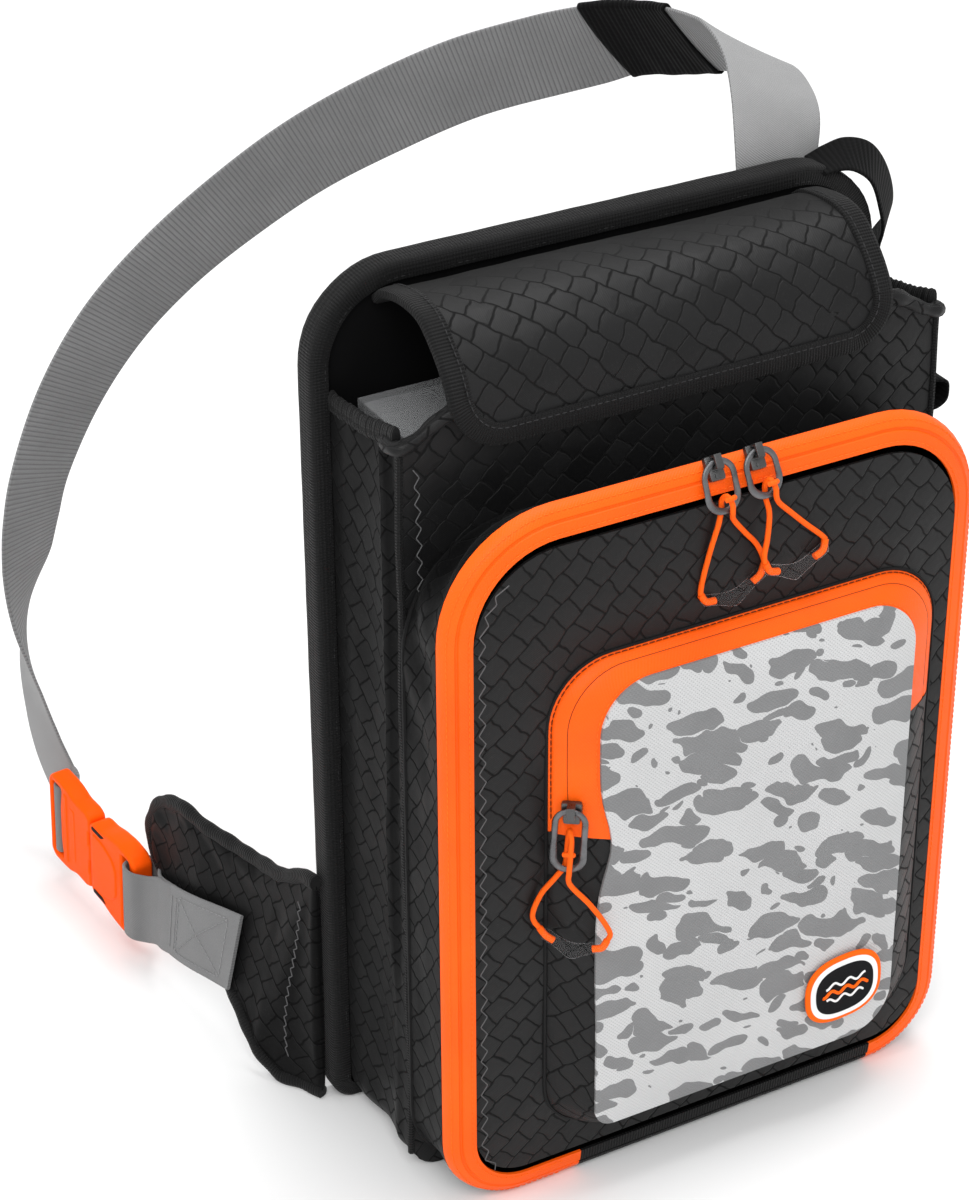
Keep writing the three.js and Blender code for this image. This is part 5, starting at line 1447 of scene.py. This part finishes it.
def strap():
    centre, across, normal = strap_frames()
    # the wearer's side of the loop is ribbed and a darker grey, which is painted shade on the inside of the
    # loop; the outer side is a fine light weave
    middle = grid((-20, 160, 230))
    k = len(centre) // 2
    inner = (normal[k] * (middle - centre[k])).sum() > 0
    finishes = ("webbing_inner", "webbing_outer") if inner else ("webbing_outer", "webbing_inner")
    ribbon("strap_webbing", centre, across, normal, HALF_WEBBING, 1.6, *finishes, "grey_webbing", ["strap"])
    turn = (1.6, -6.1), (3.7, -4.6), (4.0, -1.0), (4.3, 2.7), (5.9, 4.0), (8.0, 3.6), (9.2, 1.0), (9.2, -4.5)
    folded("strap_fold", turn, [], "webbing_tab")
    # black elastic sleeve round the strap
    count = 34
    full = run_of(centre)

    def keeper_at(t, w):
        # its two ends slant, the far end more at the lower edge
        u = (w + 20.3) / 40.6
        low, high = 7.9 - 0.45 * u ** 2 + 0.25 * u, 10.72 - 0.45 * u ** 1.5
        place = np.interp((low + (high - low) * t) * STRAP_SPAN, np.arange(len(full)), full)
        pick = lambda v: np.array([np.interp(place, full, v[:, i]) for i in range(3)])
        return pick(centre), pick(across), pick(normal), place

    half, h = 20.3, 2.1
    section = [(-half + 1.2, h), *[(w, h) for w in np.linspace(-half + 3, half - 3, 7)], (half - 1.2, h),
               (half - 0.2, h * 0.55), (half, 0),
               (half - 0.2, -h * 0.55), (half - 1.2, -h),
               *[(w, -h) for w in np.linspace(half - 3, -half + 3, 7)], (-half + 1.2, -h),
               (-half + 0.2, -h * 0.55), (-half, 0), (-half + 0.2, h * 0.55)]
    points, uv = [], []
    for k in range(count):
        lip = 0.3 if min(k, count - 1 - k) < 1 else 0.0
        for w, d in section:
            c, a, n, place = keeper_at(k / (count - 1), w)
            wave = 0.15 * math.sin(place * 0.5 + w * 0.2)
            points.append(c + a * w + n * (d * (1 - lip * 0.3) + wave * np.sign(d)))
            uv.append((place, w))
    faces = [(a, d, c, b) for a, b, c, d in band_faces(count, len(section))]
    keeper = piece("strap_elastic_sleeve", points, faces, "elastic", "black_binding", uv=uv,
                   replaces=["strap_keeper"], smooth=50)
    mod = keeper.modifiers.new("thickness", "SOLIDIFY")
    mod.thickness = 0.0009
    mod.offset = -1.0
    # box stitch where the strap is sewn to the panel
    base = [(-14, 349), (14, 349), (14, 372), (-14, 372), (-14, 349), (14, 372)]
    line = even([(88 + x, 53.25, z) for x, z in base], 1.0)
    stitches("strap_box_stitch", line, "thread_pale", "grey_webbing", 3.0, 2.2, 0.25)


BUCKLE_END = grid((-162.6, 248.72, 38.148))
TAB_NEAR = grid((-154.6, 172.72, 32.148))


def buckle_basis():
    along = TAB_NEAR - BUCKLE_END
    along /= np.linalg.norm(along)
    down = grid((0, 0, -1)) + along * along[2]
    down /= np.linalg.norm(down)
    return along, -down, np.cross(down, along)


def moulding(name, loops, thick, bevel, node=None, finish="orange_plastic"):
    """A flat moulding with rounded edges. The first outline is its rim, the others are openings."""
    data = bpy.data.curves.new(name, "CURVE")
    data.dimensions = "2D"
    data.fill_mode = "BOTH"
    data.extrude = (thick / 2 - bevel) * MM
    data.bevel_depth = bevel * MM
    data.bevel_resolution = 2
    data.offset = -bevel * MM
    for loop in loops:
        spline = data.splines.new("POLY")
        spline.points.add(len(loop) - 1)
        spline.use_cyclic_u = True
        for k, (x, y) in enumerate(loop):
            spline.points[k].co = (x * MM, y * MM, 0, 1)
    holder = bpy.data.objects.new(name, data)
    scene.collection.objects.link(holder)
    made = bpy.data.meshes.new_from_object(holder.evaluated_get(bpy.context.evaluated_depsgraph_get()))
    bpy.data.objects.remove(holder)
    x, y, z = buckle_basis()
    frame_matrix = Matrix((Vector(x), Vector(y), Vector(z))).transposed().to_4x4()
    frame_matrix.translation = Vector(BUCKLE_END * MM)
    made.transform(frame_matrix)
    made.name = name
    made.shade_smooth()
    made.set_sharp_from_angle(angle=math.radians(35))
    made.materials.clear()
    made.materials.append(FINISH[finish])
    obj = bpy.data.objects.new(name, made)
    scene.collection.objects.link(obj)
    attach(obj, "root")
    if node:
        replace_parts(obj, node)


def rounded(points, radius=1.2, steps=4):
    """A closed outline with its corners rounded."""
    p = grid(points)
    out = []
    n = len(p)
    for k in range(n):
        a, b, c = p[k - 1], p[k], p[(k + 1) % n]
        to_a, to_c = a - b, c - b
        la, lc = np.linalg.norm(to_a), np.linalg.norm(to_c)
        r = min(radius, la * 0.45, lc * 0.45)
        s, e = b + to_a / la * r, b + to_c / lc * r
        for i in range(steps + 1):
            t = i / steps
            out.append(tuple((1 - t) ** 2 * s + 2 * t * (1 - t) * b + t * t * e))
    return out


def mirrored(half):
    """An outline made of its lower half and that half's mirror image."""
    return list(half) + [(x, -y) for x, y in half[::-1]]


def buckle():
    h = 24.0
    body = rounded(mirrored([(0, -h + 3.4), (3.5, -h), (12, -h), (18, -h + 0.6), (24.5, -h + 2.9),
                             (33.5, -h + 2.6), (37.8, -h + 4.6),
                             (37.8, -12.4), (36.6, -11.6), (36.6, -4.4), (37.8, -4.0)]), 1.8)
    slot_in = rounded([(3.0, -20), (11.6, -20), (10.1, -9), (10.1, 9), (11.6, 20), (3.0, 20)], 1.4)
    moulding("buckle_prong_half", [body, slot_in[::-1]], 9.0, 1.4, "buckle_male")
    grip_bar = rounded([(13.5, -19.5), (17.0, -19.5), (17.0, 19.5), (13.5, 19.5)], 1.5)
    moulding("buckle_prong_rib", [grip_bar], 9.9, 0.9)
    moulding("buckle_prong_step", [rounded([(19.0, -15), (24.0, -15), (24.0, 15), (19.0, 15)], 2.0)], 9.5,
             0.7)
    shell = rounded(mirrored([(38.5, -h + 5.6), (42, -h + 3.4), (49, -h + 3.2), (56, -h + 1.2), (66, -h),
                              (75, -h + 0.8), (79, -h + 4.4)]), 2.2)
    slot_out = rounded([(67.5, -20), (74.2, -20), (74.2, 20), (67.5, 20)], 1.4)
    moulding("buckle_socket_half", [shell, slot_out[::-1]], 10.0, 1.5, "buckle_female")
    # rounded shoulder and the two side windows of the socket
    moulding("buckle_socket_crown",
             [rounded(mirrored([(41, -15.5), (50, -15.5), (58, -13), (63, -8)]), 3.0)], 11.2, 1.2)
    for s, name in ((-1, "low"), (1, "high")):
        window = rounded([(41.2, s * 16.9), (49.5, s * 16.9), (52.5, s * 19.2), (41.2, s * 19.0)], 0.9)
        moulding(f"buckle_window_{name}", [window if s > 0 else window[::-1]], 10.5, 0.25,
                 finish="badge_black")


def wing_face(y, z):
    back = (y - WING_Y) / WING_LONG
    _, _, out, flare = wing_row(back)
    return WING_X - out - flare * (1 - z / WING_TALL) - 3.2


def buckle_tab():
    far_y = WING_Y + 0.36 * WING_LONG
    top, low = grid((0, far_y, 0.604 * WING_TALL)), grid((0, far_y + 1, 0.278 * WING_TALL))
    clear_of = 0.35 + 0.8
    top[0], low[0] = wing_face(top[1], top[2]) - clear_of, wing_face(low[1], low[2]) - clear_of
    x, y, z = buckle_basis()
    near = [BUCKLE_END + x * d + z * o for d,
            o in ((70.8, 1.5), (71.0, -3), (73.2, -6.2), (76, -6.8), (81, -6.6))]
    pairs = [(p + y * HALF_WEBBING, p - y * HALF_WEBBING) for p in near]
    a0, b0 = pairs[-1]
    for t in (0.15, 0.3, 0.45, 0.6, 0.8, 1.0):
        a, b = a0 + (top - a0) * t, b0 + (low - b0) * t
        push = 0.0
        for u in (0.1, 0.5, 0.9):
            p = a + (b - a) * u
            if t < 1 and p[2] > 34.2:
                push = min(push, wing_face(p[1], p[2]) - clear_of - 0.3 - p[0])
        pairs.append((a + grid((push, 0, 0)), b + grid((push, 0, 0))))
    up, dn = (curve_through([p[k] for p in pairs], 6) for k in (0, 1))
    centre, across = (up + dn) / 2, unit(up - dn)
    normal = unit(np.cross(np.gradient(centre, axis=0), across))
    half = np.linalg.norm(up - dn, axis=1) / 2
    ribbon("tab_webbing", centre, across * (half / HALF_WEBBING)[:, None], normal, HALF_WEBBING, 1.6,
           "webbing_tab", "webbing_tab", "grey_webbing", ["buckle_tab"])
    side = normal if normal[-8][0] < 0 else -normal
    # light box stitch with a cross, and bartack rows beside the buckle
    last = len(centre) - 1
    start = next(k for k in range(len(centre)) if centre[k][1] < 138)

    def on_tab(k, w):
        return centre[k] + across[k] * (half[k] / HALF_WEBBING) * w + side[k] * 1.0

    box = []
    ks = range(start, last - 2)
    box += [on_tab(k, -15) for k in ks] + [on_tab(last - 3, w) for w in np.linspace(-15, 15, 12)]
    box += [on_tab(k, 15) for k in reversed(ks)] + [on_tab(start, w) for w in np.linspace(15, -15, 12)]
    stitches("tab_box_stitch", box, "thread_pale", "grey_webbing", 3.0, 2.2, 0.26)
    for s, name in ((1, "rising"), (-1, "falling")):
        cross = [on_tab(k, s * (-15 + 30 * (k - start) / (last - 3 - start))) for k in ks]
        stitches(f"tab_cross_stitch_{name}", cross, "thread_pale", "grey_webbing", 3.0, 2.2, 0.26)
    folded("tab_fold", [(70.6, -2.0), (70.8, 2.6), (72.2, 5.9), (75.6, 7.1), (79.8, 6.5), (84.8, 2.6)],
           [(centre[k] + across[k] * half[k] + side[k] * lift,
             centre[k] - across[k] * half[k] + side[k] * lift)
            for k, lift in ((start - 10, 1.5), (start - 7, 1.1), (start - 3, -0.3))], "webbing_tab")
    for row, k in enumerate((start - 3, start - 1)):
        line = [on_tab(max(k, 0), w) for w in np.linspace(-14, 14, 24)]
        stitches(f"tab_bartack_{row + 1}", line, "thread_pale", "grey_webbing", 1.5, 1.3, 0.3)


def grab_loop():
    top, side = 381.2, 127.2
    path = [(side - 27, top - 2.2, -3, -1.5), (side - 18.5, top - 1.2, -4, 0.5),
            (side - 11, top - 2.5, -5, 4), (side - 2, top - 10, -5, 9),
            (side + 3.5, top - 23, -5, 12), (side + 5.0, top - 35, -4, 12), (side + 2.5, top - 43, -3, 6),
            (side + 1.5, top - 52, -1, 3),
            (side + 0.5, top - 62, -1, 0)]

    def out(x, z):
        v = grid((x - 88.0, 0, z - 342.0))
        return v / np.linalg.norm(v)

    front = curve_through([grid((x, 35.8, z)) + out(x, z) * n for x, z, n, f in path], 10)
    back = curve_through([grid((x, 53.0, z)) + out(x, z) * f for x, z, n, f in path], 10)
    centre, across = (front + back) / 2, back - front
    wide = np.linalg.norm(across, axis=1)
    across /= wide[:, None]
    normal = np.stack([out(c[0], c[2]) for c in centre])
    normal = unit(normal - across * (normal * across).sum(1, keepdims=True))
    ribbon("grab_webbing", centre, across * (wide / 2 / 8.5)[:, None], normal, 8.5, 1.5, "elastic",
           "elastic", "black_binding",
           ["grab_loop"])


def side_tab():
    path = [(118.6, -10.0, 302.5), (123.5, -10.0, 302.2), (127.2, -10.0, 300.6), (127.9, -10.0, 297.0),
            (127.2, -10.0, 293.0), (123.5, -10.0, 290.6),
            (118.6, -10.0, 290.2)]
    centre = curve_through(path, 8)
    across = np.tile(grid((0, 1, 0)), (len(centre), 1))
    normal = unit(np.cross(np.gradient(centre, axis=0), across))
    ribbon("side_loop_webbing", centre, across, normal, 5.0, 1.2, "elastic", "elastic", "black_binding",
           ["side_tab"])


# zip pulls

CORD_R = 1.1
BAR_DOWN, BAR_OUT = -2.2, 2.75


def axes(down, out):
    down, out = grid(down), grid(out)
    down, out = down / np.linalg.norm(down), out / np.linalg.norm(out)
    return down, np.cross(out, down), out


def soft_box(low, high, bevel):
    bm = bmesh.new()
    bmesh.ops.create_cube(bm, size=1.0)
    size = grid(high) - grid(low)
    for vert in bm.verts:
        vert.co = Vector(grid(vert.co) * size + (grid(high) + grid(low)) / 2)
    bmesh.ops.bevel(bm, geom=list(bm.edges), offset=bevel, segments=2, affect="EDGES", profile=0.6)
    bm.verts.ensure_lookup_table()
    points = [tuple(v.co) for v in bm.verts]
    faces = [tuple(v.index for v in f.verts) for f in bm.faces]
    bm.free()
    return points, faces


def slider_piece(name, seat, down, out, node):
    d, s, o = axes(down, out)
    points, faces = [], []

    def put(part):
        p, f = part
        faces.extend(tuple(i + len(points) for i in q) for q in f)
        points.extend(p)

    put(soft_box((-4.8, -3.7, -1.45), (1.2, 3.7, 1.4), 1.2))
    put(soft_box((0.4, -3.1, -1.45), (4.9, 3.1, 1.35), 1.2))
    put(soft_box((-4.9, -1.5, 0.9), (-3.8, 1.5, 4.9), 0.4))
    put(soft_box((-0.6, -1.5, 0.9), (0.6, 1.5, 4.9), 0.4))
    put(soft_box((-4.9, -1.5, 4.05), (0.6, 1.5, 5.1), 0.4))
    put(soft_box((2.2, -1.1, 1.2), (3.9, 1.1, 1.75), 0.2))
    world_points = [grid(seat) + d * p[0] + s * p[1] * 1.1 + o * p[2] for p in points]
    piece(name, world_points, faces, "metal_dark", "gunmetal", replaces=[node], smooth=45)


def ring_piece(name, top, bottom, wide, facing, node):
    top, bottom = grid(top), grid(bottom)
    up = top - bottom
    tall = np.linalg.norm(up) / 2
    up /= 2 * tall
    side = np.cross(up, facing)
    side /= np.linalg.norm(side)
    out = np.cross(side, up)
    mid, half = (top + bottom) / 2, wide / 2
    count = 72
    line = []
    for i in range(count):
        a = 2 * math.pi * i / count
        straight = math.copysign(tall - half, math.sin(a)) if abs(math.sin(a)) > 1e-6 else 0.0
        line.append(mid + side * half * math.cos(a) + up * (half * math.sin(a) + straight))
    line = grid(line)
    line = even(np.concatenate([line, line[:1]]), 1.0)[:-1]
    tangent = np.roll(line, -1, 0) - np.roll(line, 1, 0)
    tangent /= np.linalg.norm(tangent, axis=1, keepdims=True)
    points, sides = [], 10
    for k, c in enumerate(line):
        inward = np.cross(tangent[k], out)
        below = np.clip(-(c - mid).dot(up) / tall, 0, 1)
        broad = 1.0 + 0.35 * below * (abs((c - mid).dot(side)) / half)
        for i in range(sides):
            a = 2 * math.pi * i / sides
            points.append(c + inward * 1.25 * broad * math.cos(a) + out * 0.75 * math.sin(a))
    piece(name, points, band_faces(len(line), sides, True), "metal", "gunmetal", replaces=[node], smooth=60)


# rows of a grip to its middle: share of half its width, upper edge, lower edge, half thickness
GRIP_SHAPE = [
    (-1.03, -1.0, 1.0, 0.9), (-1.0, -1.9, 1.9, 1.7), (-0.9, -2.1, 2.5, 2.0), (-0.8, -1.6, 3.0, 2.0),
    (-0.62, -0.6, 4.2, 1.75), (-0.45, 0.3, 5.6, 1.5), (-0.3, 0.9, 6.9, 1.35), (-0.15, 1.35, 8.3, 1.25),
    (0, 1.5, 9.0, 1.2),
]
GRIP_SHAPE += [(-u, t, l, h) for u, t, l, h in GRIP_SHAPE[-2::-1]]


def grip_frame(a, b, facing):
    a, b = grid(a), grid(b)
    across = (b - a) / np.linalg.norm(b - a)
    down = np.cross(across, facing)
    down /= np.linalg.norm(down)
    if down[2] > 0:
        down = -down
    return (a + b) / 2, np.linalg.norm(b - a) / 2, across, down, np.cross(across, down)


def grip_piece(name, a, b, facing, node):
    mid, half, across, down, out = grip_frame(a, b, facing)
    points, sides = [], 16
    for u, top, low, h in GRIP_SHAPE:
        centre, tall = (top + low) / 2, (low - top) / 2
        for i in range(sides):
            t = 2 * math.pi * i / sides
            c, s = math.cos(t), math.sin(t)
            points.append(mid + across * u * half + down * (centre + tall * math.copysign(abs(c) ** 0.7, c)) +
                          out * h * math.copysign(abs(s) ** 0.8, s))
    first, last = end_faces(len(GRIP_SHAPE), sides)
    faces = band_faces(len(GRIP_SHAPE), sides) + [first[::-1], last]
    piece(name, points, faces, "grip", "clear_grip", replaces=[node], smooth=60)


def pull_cord(name, route, node):
    path = even(curve_through(route, 12), 1.0)
    obj = rod(name, path, CORD_R, 10, "cord", "orange_cord", replaces=[node], smooth=60)
    [tuple(q * MM) for q in even(path, 3.0)]


def knot(name, centre, across):
    """Cord crossing over itself above the ring's bar."""
    c, a = grid(centre), grid(across)
    a = a / np.linalg.norm(a) * 1.45
    rise = grid((0, -0.7, 0.4))
    line = [c - a * 1.35, c - a * 0.7 + rise, c + grid((0, -1.0, 0.5)), c + a * 0.7 + rise, c + a * 1.35]
    rod(name, curve_through(line, 5), CORD_R * 0.95, 10, "cord", "orange_cord", smooth=60)


def main_pulls():
    top = grid((0, MAIN_EDGE - 4.0, MAIN_TOP - 1.6))
    foot = grid((0, MAIN_EDGE - 6.5, MAIN_TOP - 5.4))
    down = (foot - top) / np.linalg.norm(foot - top)
    out = grid((0, down[2], -down[1]))
    seat = top + (foot - top) * 0.15 + out * 2.0
    front = grid((0, -1, 0))
    for name, x, bar_foot, strands, ends in (
        ("main_left", -4.76, (1.8, 16.4), [
            (-6.6, 51.4, 0), (-6.6, 49.4, 0), (-5.9, 45, 0), (-3, 33.5, 0), (0.4, 22, 0.1),
            (1.2, 16.4, 0.1), (1.1, 12.8, 0.3),
            (1.9, 10.4, 2.4), (2.8, 12.8, 4.9), (3.1, 16.4, 5), (4.6, 20.2, 3), (11.6, 29, 0.6),
            (17.3, 35.7, 0), (20.4, 41.5, 0),
            (21.6, 45.4, 0)], [(-6.2, 54, 0.9), (20.6, 48.4, 0.9)]),
        ("main_right", 13.24, (2.4, 14.6), [
            (0.4, 42, 5.3), (0, 39.2, 5), (1.5, 32.3, 4.3), (3, 22, 2.5), (2.6, 17.5, 0.6),
            (2.4, 14.6, 0.1), (2.2, 11, 0.3),
            (2.9, 8.4, 2.4), (3.8, 11, 4.9), (4.2, 14.6, 5), (6.5, 18.5, 3.4), (13.4, 25.5, 1.8),
            (21.1, 33, 1), (28.5, 39.8, 0.4),
            (30.9, 42.4, 0.3)], [(1.2, 45.4, 5.6), (30.6, 45.6, 1.4)]),
    ):
        at = lambda q: grid((x + q[0], PANEL_FACE - 0.35 - CORD_R - q[2], MAIN_TOP - q[1]))
        here = seat + grid((x, 0, 0))
        slider_piece(f"{name}_slider_body", here, down, out, f"{name}_slider")
        hook = here + down * BAR_DOWN + out * BAR_OUT
        ring_piece(f"{name}_pull_ring", hook, at((bar_foot[0], bar_foot[1], 2.55)), 12.6, front,
                   f"{name}_ring")
        grip_piece(f"{name}_pull_grip", at(ends[0]), at(ends[1]), front, f"{name}_grip")
        pull_cord(f"{name}_pull_cord", [at(q) for q in strands], f"{name}_cord")
        cord_ends(name, at(strands[0]), at(strands[-1]), at(ends[0]), at(ends[1]), front)
        knot(f"{name}_knot", at((bar_foot[0] + 0.4, bar_foot[1] - 5.6, 4.2)), (1, 0, 0.1))


def cord_ends(name, first, last, a, b, facing):
    """The cord's two ends, seen inside the clear grip."""
    mid, half, across, down, _ = grip_frame(a, b, facing)
    for end, start, label in ((-1, first, "a"), (1, last, "b")):
        inner = mid + across * end * half * 0.62 + down * 2.2
        elbow = mid + across * end * half * 0.9 + down * 0.6
        line = curve_through([start, elbow, inner], 8)
        rod(f"{name}_cord_end_{label}", line, CORD_R * 1.3, 10, "cord", "orange_cord", smooth=60)


def pocket_pull():
    base = grid((-77.112, POCKET_BASE, 188.1))
    across = grid((16.18, -11.65, 0))
    across /= np.linalg.norm(across)
    out = grid((across[1], -across[0], 0))
    down = grid((0, 0, -1))
    at = lambda q: base + grid((q[0], -q[1], -q[2]))
    on = lambda s, o, z: at((0, 0, z)) + across * s + out * (0.8 + o)
    seat = on(10, 1.85, 0)
    slider_piece("pocket_slider_body", seat, down, out, "pocket_slider")
    hook = seat + down * BAR_DOWN + out * BAR_OUT
    ring_piece("pocket_pull_ring", hook, on(8.5, 3.9, 25), 11.5, out, "pocket_ring")
    ends = at((-3.4, 3.8, 55.4)), at((16.3, 18.2, 59.9))
    grip_piece("pocket_pull_grip", *ends, out, "pocket_grip")
    route = [at((-4.2, 2.6, 53.2)), at((-6.2, 2.2, 50)), at((-6.9, 2, 46.5)), at((-3.6, 2.8, 37.4)),
             at((1.2, 5, 30.2)), on(7.4, 1.5, 25),
             on(8.2, 1.6, 18), on(8.8, 1.5, 10.8), on(9.2, 2.0, 8.6), on(9.6, 3.3, 7.7), on(10, 4.6, 8.6),
             on(10.3, 5.1, 10.8),
             on(10, 5.7, 18), on(9.6, 6.4, 25),
             on(9.6, 5.6, 30), at((11.6, 14.2, 40.9)), at((17.1, 17, 50.7)), at((18.7, 17.6, 55.5)),
             at((17.5, 17.4, 57.6))]
    pull_cord("pocket_pull_cord", route, "pocket_cord")
    cord_ends("pocket", route[0], route[-1], *ends, out)
    knot("pocket_knot", on(9.2, 4.9, 17.5), across)


# case

def case():
    for node in ("tackle_tray", "tackle_lid"):
        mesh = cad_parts[node].data
        mesh.materials.clear()
        mesh.materials.append(FINISH["case"])


for build in (main_pulls, pocket_pull, main_cloth, main_zip, front_cloth, pocket, badge, sleeve,
              gathered_rims, flap, back_binding,
              back_panel, wing, strap, buckle, buckle_tab, grab_loop, side_tab, case):
    build()
